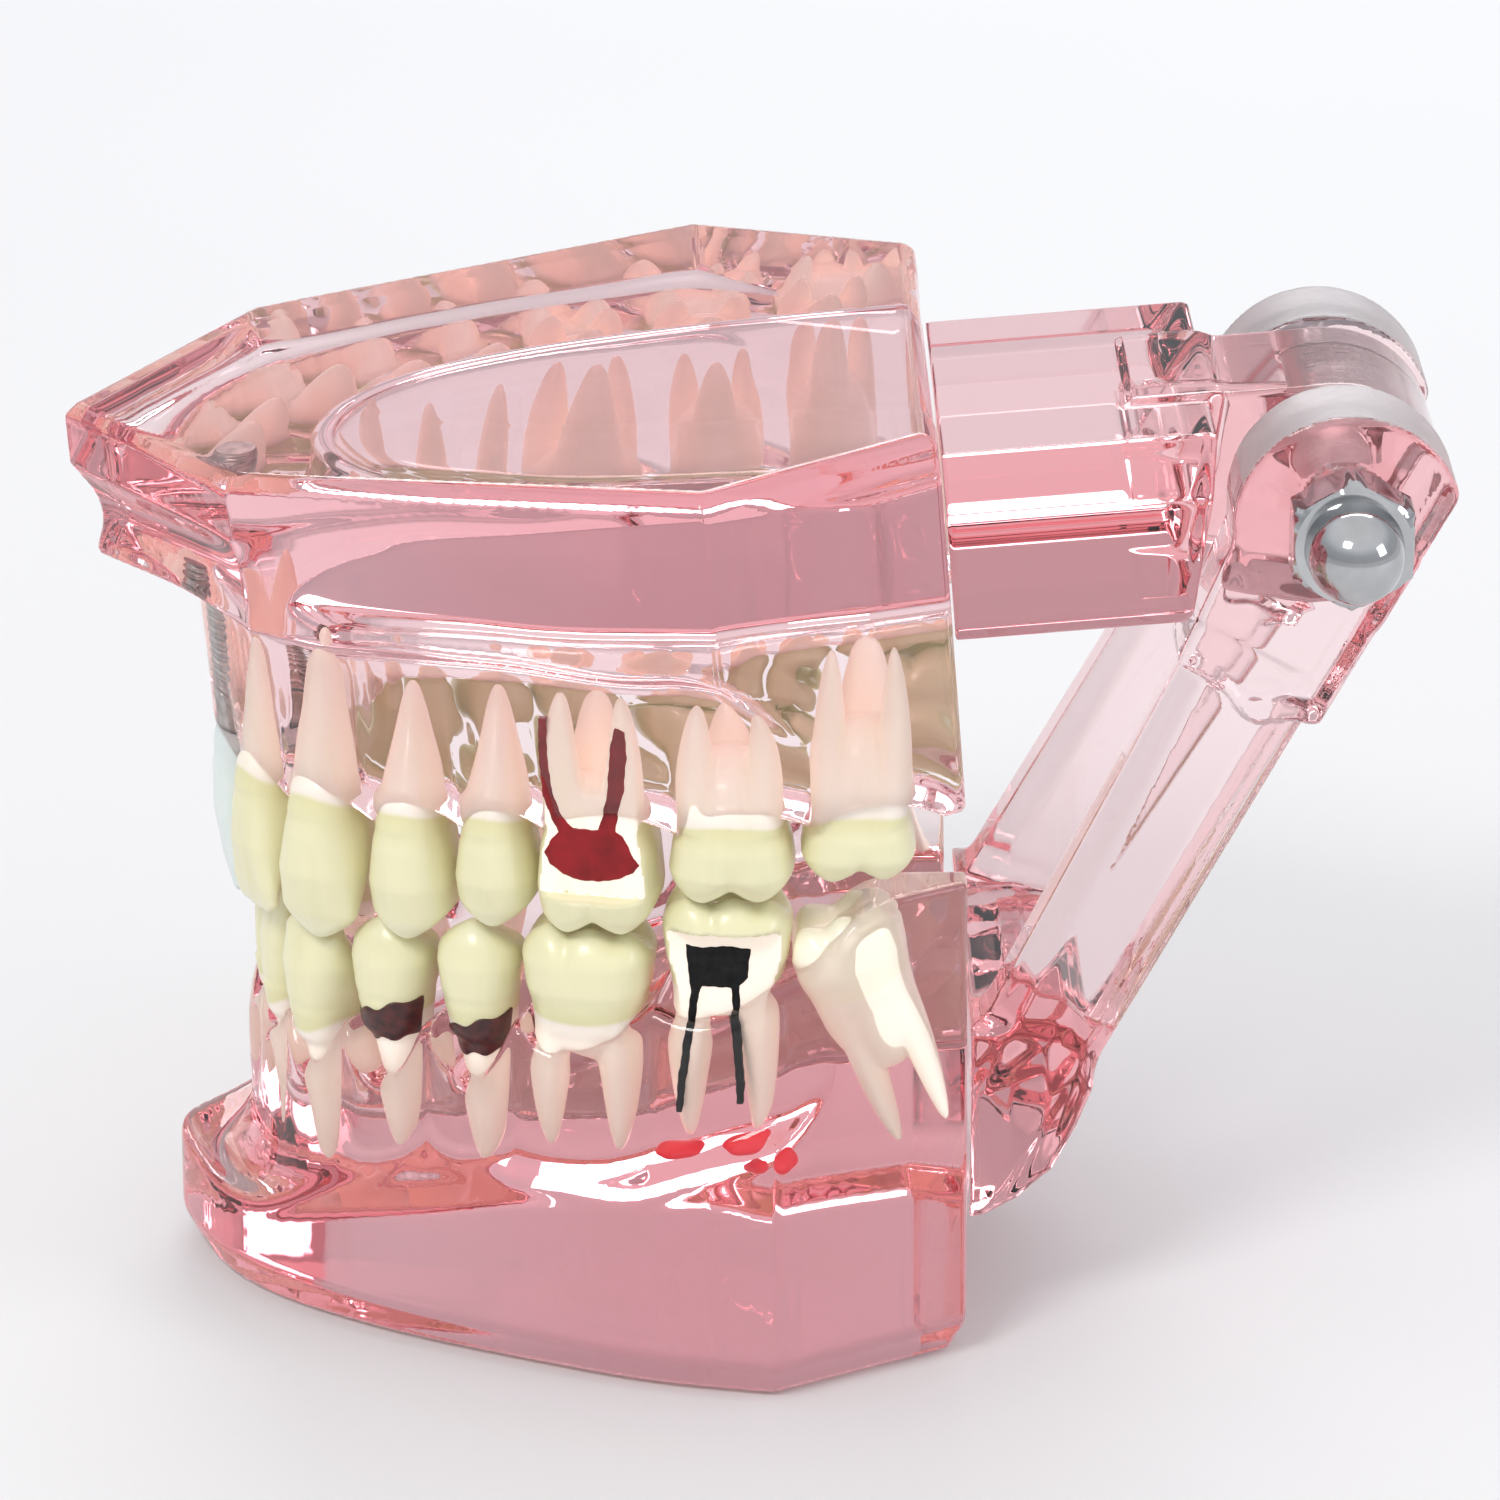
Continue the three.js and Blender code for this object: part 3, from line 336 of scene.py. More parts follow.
def tooth_material(name, crown, neck, root, tip, glow=0.26, glow_to=0.40):
    m, nt, b = material(name)
    at = nt.nodes.new("ShaderNodeAttribute")
    at.attribute_name = "zone"  # 0 apex, 0.5 neck, 1 tip
    tc = nt.nodes.new("ShaderNodeTexCoord")
    n1 = nt.nodes.new("ShaderNodeTexNoise")
    n1.inputs["Scale"].default_value = 420.0
    n1.inputs["Detail"].default_value = 3.0
    mp = nt.nodes.new("ShaderNodeMapping")
    mp.inputs["Scale"].default_value = (1.0, 1.0, 0.22)
    nt.links.new(tc.outputs["Object"], mp.inputs["Vector"])
    nt.links.new(mp.outputs["Vector"], n1.inputs["Vector"])
    base = ramp(nt, at.outputs["Fac"], [(0.0, root), (0.485, root), (0.5, neck), (0.62, crown), (0.9, crown), (1.0, tip)])
    dark = mix_color(nt, base, tuple(c * 0.86 for c in neck), 0.5)
    streak = ramp(nt, n1.outputs["Fac"], [(0.42, (0, 0, 0)), (0.72, (0.5, 0.5, 0.5))])
    nt.links.new(mix_color(nt, base, dark, streak), b.inputs["Base Color"])
    b.inputs["Roughness"].default_value = 0.3
    b.inputs["Coat Weight"].default_value = 0.25
    # painted light: up to zone glow_to (the roots, and the ground faces set to 0.3) the teeth glow with a warm emission
    # that stands in for the lamp light the glass resin keeps from the cast-in teeth
    warm = (0.95, 0.74, 0.60)
    painted_root_glow = ramp(nt, at.outputs["Fac"], [(0.0, warm), (glow_to, warm), (glow_to + 0.09, (0, 0, 0))])
    nt.links.new(painted_root_glow, b.inputs["Emission Color"])
    b.inputs["Emission Strength"].default_value = glow
    b.inputs["Coat Roughness"].default_value = 0.12
    n2 = nt.nodes.new("ShaderNodeTexNoise")
    n2.inputs["Scale"].default_value = 700.0
    n2.inputs["Detail"].default_value = 2.0
    nt.links.new(mp.outputs["Vector"], n2.inputs["Vector"])
    bump = nt.nodes.new("ShaderNodeBump")
    bump.inputs["Strength"].default_value = 0.16
    bump.inputs["Distance"].default_value = 0.0003
    nt.links.new(n2.outputs["Fac"], bump.inputs["Height"])
    nt.links.new(bump.outputs["Normal"], b.inputs["Normal"])
    return m


def solid_material(name, a, b2, rough, metal=0.0, scale=500.0, bump=0.15, coat=0.0):
    m, nt, b = material(name)
    tc = nt.nodes.new("ShaderNodeTexCoord")
    n1 = nt.nodes.new("ShaderNodeTexNoise")
    n1.inputs["Scale"].default_value = scale
    n1.inputs["Detail"].default_value = 4.0
    nt.links.new(tc.outputs["Object"], n1.inputs["Vector"])
    nt.links.new(ramp(nt, n1.outputs["Fac"], [(0.35, a), (0.65, b2)]), b.inputs["Base Color"])
    b.inputs["Roughness"].default_value = rough
    b.inputs["Metallic"].default_value = metal
    b.inputs["Coat Weight"].default_value = coat
    bp = nt.nodes.new("ShaderNodeBump")
    bp.inputs["Strength"].default_value = bump
    bp.inputs["Distance"].default_value = 0.0002
    nt.links.new(n1.outputs["Fac"], bp.inputs["Height"])
    nt.links.new(bp.outputs["Normal"], b.inputs["Normal"])
    return m


M = {
    "resin": resin("resin_pink", (0.94, 0.12, 0.22), 13.0, (1.0, 0.965, 0.965), 0.03),
    "hinge": resin("resin_hinge", (0.94, 0.10, 0.18), 19.0, (1.0, 0.95, 0.95), 0.05, 0.02),
    "frost": frosted("resin_frosted", (0.97, 0.92, 0.93), 0.42, 0.82),
    # the last two numbers of a tooth material set its painted glow (emission standing in for lamp light the resin
    # blocks) and how far up the tooth it reaches; the cream molar glows nearly to its tip, the ceramic crown not at all
    "tooth": tooth_material("tooth_resin", (0.86, 0.82, 0.53), (0.80, 0.75, 0.43), (0.97, 0.88, 0.78), (0.87, 0.85, 0.62)),
    "molar": tooth_material("tooth_cream", (0.92, 0.88, 0.72), (0.92, 0.87, 0.70), (0.96, 0.88, 0.76), (0.93, 0.89, 0.73), 0.22, 0.88),
    "ceramic": tooth_material("ceramic_crown_look", (0.76, 0.83, 0.80), (0.70, 0.77, 0.76), (0.6, 0.6, 0.6), (0.80, 0.86, 0.84), 0.0),
    "titanium": solid_material("titanium_look", (0.30, 0.28, 0.26), (0.52, 0.50, 0.47), 0.3, 1.0, 900.0, 0.2),
    "steel": solid_material("steel_look", (0.44, 0.45, 0.46), (0.55, 0.56, 0.57), 0.09, 1.0, 260.0, 0.03),
    "pulp": solid_material("pulp_look", (0.20, 0.002, 0.005), (0.32, 0.005, 0.010), 0.35, 0.0, 500.0, 0.25, 0.15),
    "filling": solid_material("filling_look", (0.003, 0.003, 0.004), (0.010, 0.010, 0.011), 0.5, 0.0, 1200.0, 0.4, 0.0),
    "decay": solid_material("decay_look", (0.03, 0.006, 0.006), (0.10, 0.016, 0.014), 0.4, 0.0, 1100.0, 0.5, 0.2),
    "lesion": solid_material("lesion_look", (0.90, 0.015, 0.03), (1.0, 0.04, 0.06), 0.35, 0.0, 500.0, 0.2, 0.1),
}

for k, spec in (("pulp", 0.3), ("filling", 0.2)):
    M[k].node_tree.nodes["Principled BSDF"].inputs["Specular IOR Level"].default_value = spec
# painted light: the red lesions glow with an emission so they read bright inside the resin, though they are no lamp
lesion_painted_glow = M["lesion"].node_tree.nodes["Principled BSDF"]
lesion_painted_glow.inputs["Emission Color"].default_value = (1.0, 0.03, 0.06, 1)
lesion_painted_glow.inputs["Emission Strength"].default_value = 0.22


# ------------------------------------------------------------------ teeth
def directions(tab, code):
    pts = [tab[k][:2] for k in sorted(tab)]
    i = sorted(tab).index(code)
    a = pts[i - 1] if i > 0 else (pts[0][0], -pts[0][1])
    c = pts[i + 1] if i < len(pts) - 1 else pts[i]
    dx, dy = c[0] - a[0], c[1] - a[1]
    n = math.hypot(dx, dy)
    return dx / n, dy / n, dy / n, -dx / n


PROFILE = {  # share of crown height: half width, outward and inward extent
    "incisor": [[0, 0.35, 0.42, 0.44], [0.22, 0.42, 0.48, 0.48], [0.5, 0.47, 0.48, 0.20], [0.8, 0.5, 0.38, -0.08], [1, 0.475, 0.27, -0.13]],
    "canine": [[0, 0.36, 0.44, 0.44], [0.22, 0.43, 0.51, 0.5], [0.5, 0.5, 0.52, 0.32], [0.78, 0.48, 0.40, 0.02], [1, 0.36, 0.26, -0.06]],
    "premolar": [[0, 0.37, 0.43, 0.43], [0.25, 0.44, 0.5, 0.48], [0.55, 0.5, 0.5, 0.5], [0.8, 0.48, 0.42, 0.46], [1, 0.42, 0.34, 0.36]],
    "molar": [[0, 0.41, 0.44, 0.44], [0.28, 0.47, 0.5, 0.49], [0.6, 0.5, 0.5, 0.5], [0.85, 0.475, 0.43, 0.46], [1, 0.43, 0.36, 0.40]],
}


def tooth_field(spec, dirs, upper, long_trunk=0.5):
    cx, cy, md, bl, neck, tip, apex, kind = spec
    tx, ty, bx, by = dirs
    sgn = 1 if tip > neck else -1
    H, R = abs(tip - neck), abs(apex - neck)
    prof = np.array(PROFILE[kind])

    def local(x, y, z):
        return (x - cx) * tx + (y - cy) * ty, (x - cx) * bx + (y - cy) * by, (z - neck) * sgn

    def crown(u, v, h):
        t = h / H
        a = np.interp(t, prof[:, 0], prof[:, 1]) * md
        bo = np.interp(t, prof[:, 0], prof[:, 2]) * bl
        bi = np.interp(t, prof[:, 0], prof[:, 3]) * bl
        below = np.clip(-t, 0, None)
        below = np.clip(1 - 0.5 * below, 0.2, 1)
        a, bo, bi = a * below, bo * below, bi * below
        b, v0 = (bo + bi) / 2, (bo - bi) / 2
        n = 2.6 if kind in ("incisor", "molar") else 2.3
        q = ((np.abs(u) / a) ** n + (np.abs(v - v0) / b) ** n + 1e-6) ** (1 / n) - 1
        side = q * np.minimum(a, b) * 0.92
        if kind == "incisor":
            top = H - 0.05 * H * (np.abs(u) / (0.5 * md)) ** 3 - 0.22 * np.clip(np.cos(u / md * 6.283 * 2.0), 0, 1) * 0.5
            k = 0.7
            # two shallow furrows on the lip side, a hollow on the tongue side
            side = side + 0.10 * np.exp(-(((np.abs(u) - 0.17 * md) / (0.07 * md)) ** 2)) * step(0.35, 0.8, t) * (v > v0)
        elif kind == "canine":
            top = H - 0.62 * (np.sqrt(u**2 + 0.5) - 0.7) - 0.2 * np.clip(-v, 0, None)
            k = 0.9
            side = side - 0.12 * np.exp(-((u / (0.13 * md)) ** 2)) * step(0.1, 0.5, t) * (v > v0)
        else:
            cusps = {
                ("premolar", True): [(0, 0.22, 0.0), (0, -0.22, 0.9)],
                ("premolar", False): [(0, 0.18, 0.0), (-0.05, -0.24, 1.5)],
                ("molar", True): [(-0.24, 0.25, 0.1), (0.22, 0.24, 0.3), (-0.2, -0.2, 0.0), (0.25, -0.25, 0.9)],
                ("molar", False): [(-0.27, 0.24, 0.3), (0.05, 0.26, 0.4), (0.32, 0.18, 0.8), (-0.23, -0.24, 0.0), (0.2, -0.24, 0.2)],
            }[(kind, upper)]
            top = None
            for cu, cv, low in cusps:
                d = np.sqrt(((u - cu * md) / 1.0) ** 2 + ((v - cv * bl) / 1.0) ** 2 + 0.45)
                c = H - low - 0.72 * (d - 0.67)
                top = c if top is None else smax(top, c, 0.55)
            top = smax(top, H - 2.3 + 0 * u, 0.5)
            k = 1.1 if kind == "molar" else 1.0
            if kind == "premolar":
                side = side - 0.12 * np.exp(-((u / (0.16 * md)) ** 2)) * step(0.2, 0.6, t) * (v > 0)
            else:  # the furrow down the cheek side
                gu = 0.0 if upper else -0.1 * md
                side = side + 0.35 * np.exp(-(((u - gu) / 0.6) ** 2)) * step(0.3, 0.8, t) * (v > 0)
        return smax(side, h - top, k)

    def cone(u, v, h, u0, v0, u1, v1, ru, rv, start, length, flat=3.4, taper=0.42):
        s = np.clip((start - h) / length, 0, 1)
        g = np.sqrt(np.clip(1 - s**flat, 0, 1)) * (1 - taper * s)
        cu = u0 + (u1 - u0) * s + 0.3 * np.sin(s * 3.1) * np.sign(u1 - u0)
        cv = v0 + (v1 - v0) * s
        rm = min(ru, rv)
        rad = np.sqrt(((u - cu) / ru * rm) ** 2 + ((v - cv) / rv * rm) ** 2)
        side = rad - rm * g
        over = np.clip((start - h) - length, 0, None)
        return np.sqrt(np.clip(side, 0, None) ** 2 + over**2) + np.minimum(side, 0) * (over <= 0) + np.clip(h - start, 0, None)

    def field(x, y, z):
        u, v, h = local(x, y, z)
        c = crown(u, v, h)
        c = smax(c, -h - 1.6, 0.8)
        n0 = prof[0]
        if kind != "molar":
            w = 0.34 if kind == "incisor" else 0.365
            r = cone(u, v, h, 0, 0, 0.03 * md, -0.2 * bl, w * md, 0.43 * bl, 1.0, R + 1.0, 3.4, 0.5)
            return smin(c, r, 0.9)
        trunk = cone(u, v, h, 0, 0, 0, 0, 0.41 * md, 0.43 * bl, 1.0, long_trunk * R, 4.0, 0.16)
        c = smin(c, trunk, 0.8)
        if upper:
            roots = [(-0.21, 0.2, -0.25, 0.22, 0.2, 0.23), (0.21, 0.2, 0.24, 0.22, 0.19, 0.22), (0.02, -0.2, 0.0, -0.24, 0.26, 0.2)]
        else:
            roots = [(-0.21, 0, -0.25, 0, 0.2, 0.38), (0.21, 0, 0.24, 0, 0.185, 0.35)]
        for u0, v0, u1, v1, ru, rv in roots:
            r = cone(u, v, h, u0 * md, v0 * bl, u1 * md, v1 * bl, ru * md, rv * bl, 0.5, R + 0.5)
            c = smin(c, r, 0.45)
        return c

    def zone(v):
        u, w, h = local(v[:, 0], v[:, 1], v[:, 2])
        amp = {"incisor": 1.3, "canine": 1.2, "premolar": 0.7, "molar": 0.4}[kind]
        cej = amp * (np.clip(np.abs(u) / (0.4 * md), 0, 1) ** 2 - 0.5)
        h = h - cej
        return np.where(h >= 0, 0.5 + 0.5 * np.clip(h / H, 0, 1), 0.5 - 0.5 * np.clip(-h / R, 0, 1))

    r = max(md, bl) * 0.62 + 0.6
    lo = [cx - r, cy - r, min(tip, apex) - 0.3]
    hi = [cx + r, cy + r, max(tip, apex) + 0.3]
    return field, zone, (lo, hi), local


def set_zone(o, values):
    a = o.data.attributes.new("zone", "FLOAT", "POINT")
    a.data.foreach_set("value", np.asarray(values, np.float32))


def place(o, node, body, mat, extra=()):
    o.data.materials.append(mat)
    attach(o, body)
    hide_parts(node, *extra)
    return o


TOOTH_H = 0.3
up_fields, lo_fields = {}, {}
for code, spec in UPPER.items():
    up_fields[code] = tooth_field(spec, directions(UPPER, code), True, {6: 0.42, 7: 0.72, 8: 0.66}.get(code, 0.5))
lower8 = dict(LOWER)
for code, spec in LOWER.items():
    tab = dict(LOWER)
    tab[8] = (8.2, -27.4)
    lo_fields[code] = tooth_field(spec, directions(tab, code), False, {7: 0.34}.get(code, 0.46))
T8 = TIPPED
spec8 = (T8["x"], T8["y"], T8["md"], T8["bl"], T8["neck"], T8["tip"], T8["apex"], "molar")
f8, z8, b8, l8 = tooth_field(spec8, (1, 0, 0, -1), False, 0.62)


def untip(x, z):
    a = T8["lean"]
    dx, dz = x - T8["x"], z - T8["neck"]
    return T8["x"] + dx * math.cos(a) + dz * math.sin(a), T8["neck"] - dx * math.sin(a) + dz * math.cos(a)


def tipped_field(x, y, z):
    x2, z2 = untip(x, z)
    return f8(x2, y, z2)


def tipped_zone(v):
    x2, z2 = untip(v[:, 0], v[:, 2])
    return z8(np.stack([x2, v[:, 1], z2], 1))


lo_fields[8] = (tipped_field, tipped_zone, ([-1.5, -33.4, 19.0], [17.0, -21.0, 44.6]), None)
FLAT26 = dict(depth=3.5, z0=43.4)
FLAT37 = dict(depth=2.9, z1=40.6)


def upper_tooth(code, left):
    f = up_fields[code][0]
    if code == 6 and left:
        local = up_fields[6][3]

        def g(x, y, z):
            u, v, h = local(x, y, z)
            return smax(f(x, y, z), smin(FLAT26["depth"] - v, z - FLAT26["z0"], 0.5) * -1 if False else -smax(FLAT26["depth"] - v, FLAT26["z0"] - z, 0.5), 0.25)
        return g
    return f


def lower_tooth(code, left):
    f = lo_fields[code][0]
    near = [k for k in UPPER if abs(k - code) <= 1]
    fs = [up_fields[k][0] for k in near]
    cut37 = code == 7 and left

    def g(x, y, z):
        d = f(x, y, z)
        for q in fs:
            d = smax(d, 0.4 - q(x, y, z), 0.3)
        if code == 8:
            d = smax(d, 0.35 - lo_fields[7][0](x, y, z), 0.3)
        if cut37:
            u, v, h = lo_fields[7][3](x, y, z)
            d = smax(d, -smax(FLAT37["depth"] - v, z - FLAT37["z1"], 0.5), 0.25)
        return d
    return g


def build_teeth():
    for upper, fields in ((True, up_fields), (False, lo_fields)):
        for code, (f, zone, (lo, hi), local) in fields.items():
            plain = None
            for side in ("left", "right"):
                if upper and code == 1 and side == "left":
                    continue
                special = side == "left" and ((upper and code == 6) or (not upper and code == 7))
                if special or plain is None or True:
                    if special or plain is None:
                        fn = (upper_tooth if upper else lower_tooth)(code, side == "left" and special)
                        got = surface(fn, lo, hi, TOOTH_H)
                        if not special:
                            plain = got
                    else:
                        got = plain
                verts, faces = got
                z = zone(verts)
                if special:
                    u, w, h = local(*verts.T)
                    cut = FLAT26 if upper else FLAT37
                    face = (w > cut["depth"] - 0.12) & (verts[:, 2] > cut["z0"] + 0.2 if upper else verts[:, 2] < cut["z1"] - 0.2)
                    z = np.where(face, 0.3, z)
                if side == "right":
                    verts = verts * np.array([1, -1, 1])
                    faces = faces[:, ::-1]
                node = f"{'upper' if upper else 'lower'}_{side}_{NAMES[code]}"
                o = mesh_object(node.replace("upper_", "tooth_u_").replace("lower_", "tooth_l_"), verts, faces)
                set_zone(o, z)
                cream = code == 8 and not upper
                place(o, node, "upper_jaw" if upper else "lower_jaw", M["molar" if cream else "tooth"])


build_teeth()


# ------------------------------------------------------------------ inlays, decay, lesions
def inlay(name, node, body, local_fn, outline, depth, thick, mat, slot_name, wobble=0.08):
    """A painted cavity on a ground face: a thin raised patch following the outline."""
    us = [p[0] for p in outline]
    zs = [p[1] for p in outline]

    def f(x, y, z):
        u, v, h = local_fn(x, y, z)
        d = polygon(u, z + 0 * u, outline) - 0.06 + wobble * np.sin(z * 3.1 + u * 2.3) * np.sin(z * 1.7 - u * 3.9) * 0.6
        slab = smax(v - depth - 0.10, depth - thick - v, 0.05)
        return smax(d, slab, 0.16)
    return f


loc26, loc37 = up_fields[6][3], lo_fields[7][3]
PULP_LOOK = [[-3.9, 47.0], [-3.5, 46.1], [-2.4, 45.3], [-1.0, 44.8], [0.8, 44.9], [2.2, 45.2], [3.5, 45.9], [4.0, 46.5], [3.5, 47.1], [3.1, 48.0], [2.6, 48.9], [2.0, 49.3], [2.2, 51.0], [2.75, 53.0], [3.0, 56.0], [2.9, 58.2], [2.1, 58.5], [1.7, 56.5], [1.5, 53.0], [1.0, 50.6], [0.6, 49.3], [-1.6, 49.3], [-2.5, 50.4], [-3.3, 52.4], [-3.6, 55.0], [-3.75, 58.8], [-4.25, 58.8], [-4.3, 55.0], [-4.0, 52.0], [-3.2, 49.8], [-2.7, 48.9], [-3.5, 48.0]]
FILL_LOOK = [[-3.2, 39.2], [-2.0, 38.9], [0.4, 39.1], [2.1, 38.9], [1.9, 37.6], [1.9, 36.4], [1.15, 35.7], [1.25, 33.5], [1.35, 30.0], [1.5, 27.0], [1.45, 25.3], [1.05, 25.3], [0.9, 28.0], [0.72, 31.0], [0.6, 35.5], [-1.9, 35.5], [-2.25, 34.8], [-2.5, 32.0], [-2.9, 29.0], [-3.3, 26.0], [-3.45, 24.3], [-3.85, 24.3], [-3.75, 26.5], [-3.4, 29.5], [-3.05, 32.5], [-2.8, 35.0], [-2.95, 36.2]]
f = inlay("pulp", "pulp_inlay", "upper_jaw", loc26, PULP_LOOK, FLAT26["depth"], 1.2, M["pulp"], "pulp_red")
dirs = directions(UPPER, 6)
cx, cy = UPPER[6][0] + dirs[2] * 3.2, UPPER[6][1] + dirs[3] * 3.2
v, q = surface(f, [cx - 5.2, cy - 2.8, 44.2], [cx + 5.2, cy + 2.8, 59.6], 0.16)
place(mesh_object("pulp_red_inlay", v, q), "pulp_inlay", "upper_jaw", M["pulp"])
f = inlay("fill", "canal_filling", "lower_jaw", loc37, FILL_LOOK, FLAT37["depth"], 1.1, M["filling"], "canal_black")
dirs = directions({**LOWER, 8: (8.2, -27.4)}, 7)
cx, cy = LOWER[7][0] + dirs[2] * 2.6, LOWER[7][1] + dirs[3] * 2.6
v, q = surface(f, [cx - 5.2, cy - 2.4, 23.6], [cx + 5.2, cy + 2.4, 40.2], 0.16)
place(mesh_object("canal_black_filling", v, q), "canal_filling", "lower_jaw", M["filling"])
for code, name in ((4, "first"), (5, "second")):
    tf, _, _, local = lo_fields[code]
    spec = LOWER[code]

    def f(x, y, z, tf=tf, local=local, code=code):
        u, v, h = local(x, y, z)
        top = 30.3 + 0.32 * u + 0.22 * np.sin(u * 2.6 + code)
        bottom = 27.1 + 0.14 * u + 0.22 * np.sin(u * 3.1 + 1)
        d = tf(x, y, z) - 0.16
        return smax(smax(d, smax(z - top, bottom - z, 0.5), 0.2), 0.4 - v, 0.6)
    v, q = surface(f, [spec[0] - 4.6, spec[1] - 5.2, 26.2], [spec[0] + 4.6, spec[1] + 4.6, 32.6], 0.2)
    place(mesh_object(f"decay_{name}", v, q), f"decay_{name}_premolar", "lower_jaw", M["decay"])
dirs = directions({**LOWER, 8: (8.2, -27.4)}, 7)
for name, du, w in (("mesial", -3.3, 2.1), ("distal", 2.3, 2.2)):
    lx, ly = LOWER[7][0] + dirs[0] * du, LOWER[7][1] + dirs[1] * du

    def f(x, y, z, lx=lx, ly=ly, w=w):
        wob = 0.22 * np.sin((x - lx) * 2.1 + w * 5) * np.cos((y - ly) * 1.7 + z)
        return np.sqrt(((x - lx) / w) ** 2 + ((y - ly) / 1.9) ** 2 + ((z - 19.55) / 1.15) ** 2) * 1.3 - 1.3 + wob * 0.5
    v, q = surface(f, [lx - 2.8, ly - 2.8, 17.6], [lx + 2.8, ly + 2.8, 21.4], 0.2)
    place(mesh_object(f"lesion_red_{name}", v, q), f"lesion_{name}", "lower_jaw", M["lesion"])


# ------------------------------------------------------------------ implant
def revolve(profile, n, cx, cy):
    """A closed body of revolution about a vertical line: profile of (r, z) from axis to axis."""
    a = np.arange(n) * 2 * math.pi / n
    verts, rows = [], []
    for r, z in profile:
        if r < 1e-6:
            rows.append([len(verts)] * n)
            verts.append([cx, cy, z])
        else:
            rows.append(list(range(len(verts), len(verts) + n)))
            verts += [[cx + r * math.cos(t), cy + r * math.sin(t), z] for t in a]
    faces = []
    for p, q in zip(rows, rows[1:]):
        for k in range(n):
            m = (k + 1) % n
            face = [p[k], p[m], q[m], q[k]]
            faces.append(face)
    return np.array(verts, float), faces


def polymesh(name, verts, faces, smooth=True, sharp=None):
    me = bpy.data.meshes.new(name)
    v = (np.asarray(verts, float) + np.array([SHIFT, 0, 0])) / 1000
    clean = []
    for fc in faces:
        out = []
        for i in fc:
            if i not in out:
                out.append(i)
        if len(out) > 2:
            clean.append(out)
    me.from_pydata([tuple(p) for p in v], [], clean)
    me.update()
    if smooth:
        me.polygons.foreach_set("use_smooth", [True] * len(me.polygons))
        if sharp:
            me.set_sharp_from_angle(angle=math.radians(sharp))
    o = bpy.data.objects.new(name, me)
    bpy.context.scene.collection.objects.link(o)
    return o


IX, IY = -43.0, -4.4


def threaded(z0, z1, r, depth, pitch, n=48):
    """A screw: the radius follows a rounded V thread that winds round the axis."""
    rows = int((z1 - z0) / pitch * 12)
    verts, faces = [], []
    for i in range(rows + 1):
        z = z0 + (z1 - z0) * i / rows
        taper = 1 - 0.16 * max(0, (z - (z1 - 4)) / 4) ** 2
        for k in range(n):
            a = 2 * math.pi * k / n
            ph = ((z - z0) / pitch - k / n) % 1.0
            w = abs(2 * ph - 1)
            w = min(1, w * 1.5)
            fade = min(1, (z - z0) / 0.8, (z1 - z) / 0.4 + 0.2)
            rr = (r - depth * w * max(0, fade)) * taper
            verts.append([IX + rr * math.cos(a), IY + rr * math.sin(a), z])
    for i in range(rows):
        for k in range(n):
            m = (k + 1) % n
            faces.append([i * n + k, i * n + m, (i + 1) * n + m, (i + 1) * n + k])
    faces.append(list(range(n))[::-1])
    faces.append([rows * n + k for k in range(n)])
    return verts, faces


v, q = threaded(53.0, 64.5, 2.05, 0.42, 0.95)
place(polymesh("implant_screw", v, q, True, 40), "implant_fixture", "upper_jaw", M["titanium"])
prof = [(0, 52.65), (1.9, 52.65), (2.0, 52.4), (2.0, 51.9), (1.75, 51.2), (1.68, 50.4), (1.7, 46.5), (1.5, 45.95), (0, 45.85)]
v, q = revolve(prof, 40, IX, IY)
place(polymesh("implant_post", v, q, True, 35), "implant_abutment", "upper_jaw", M["titanium"])
cspec = (IX, IY, 8.2, 7.0, 48.6, 34.6, 58.0, "incisor")
cf, cz, cb, cl = tooth_field(cspec, directions(UPPER, 1), True)


def crown_only(x, y, z):
    d = smax(cf(x, y, z), z - 49.3, 0.8)
    bore = smax(np.sqrt((x - IX) ** 2 + (y - IY) ** 2) - 1.95, 45.5 - z, 0.2)
    return smax(d, -bore, 0.2)


v, q = surface(crown_only, [cb[0][0], cb[0][1], 34.2], [cb[1][0], cb[1][1], 50.2], TOOTH_H)
o = mesh_object("implant_ceramic", v, q)
set_zone(o, np.maximum(cz(v), 0.52))
place(o, "implant_crown", "upper_jaw", M["ceramic"])


# ------------------------------------------------------------------ lower base
lo_outline = both_sides(smooth_front(LO_FRONT, 5) + [[LO_HEEL_X, -26.3]])
lo_ridge = horseshoe(LO_RIDGE_OUT, LO_RIDGE_IN)
up_outline = both_sides(UP_OUTLINE)
up_ridge = horseshoe(UP_RIDGE_OUT, UP_RIDGE_IN)


def papilla(x, y, tab):
    """0 at the middle of a tooth, 1 between two teeth."""
    p = None
    for code in sorted(tab):
        s = tab[code]
        tx, ty, bx, by = directions(tab, code)
        yy = -np.abs(y)
        u = (x - s[0]) * tx + (yy - s[1]) * ty
        q = np.abs(u) / (s[2] * 0.5)
        p = q if p is None else np.minimum(p, q)
    return np.clip(p, 0, 1.15)


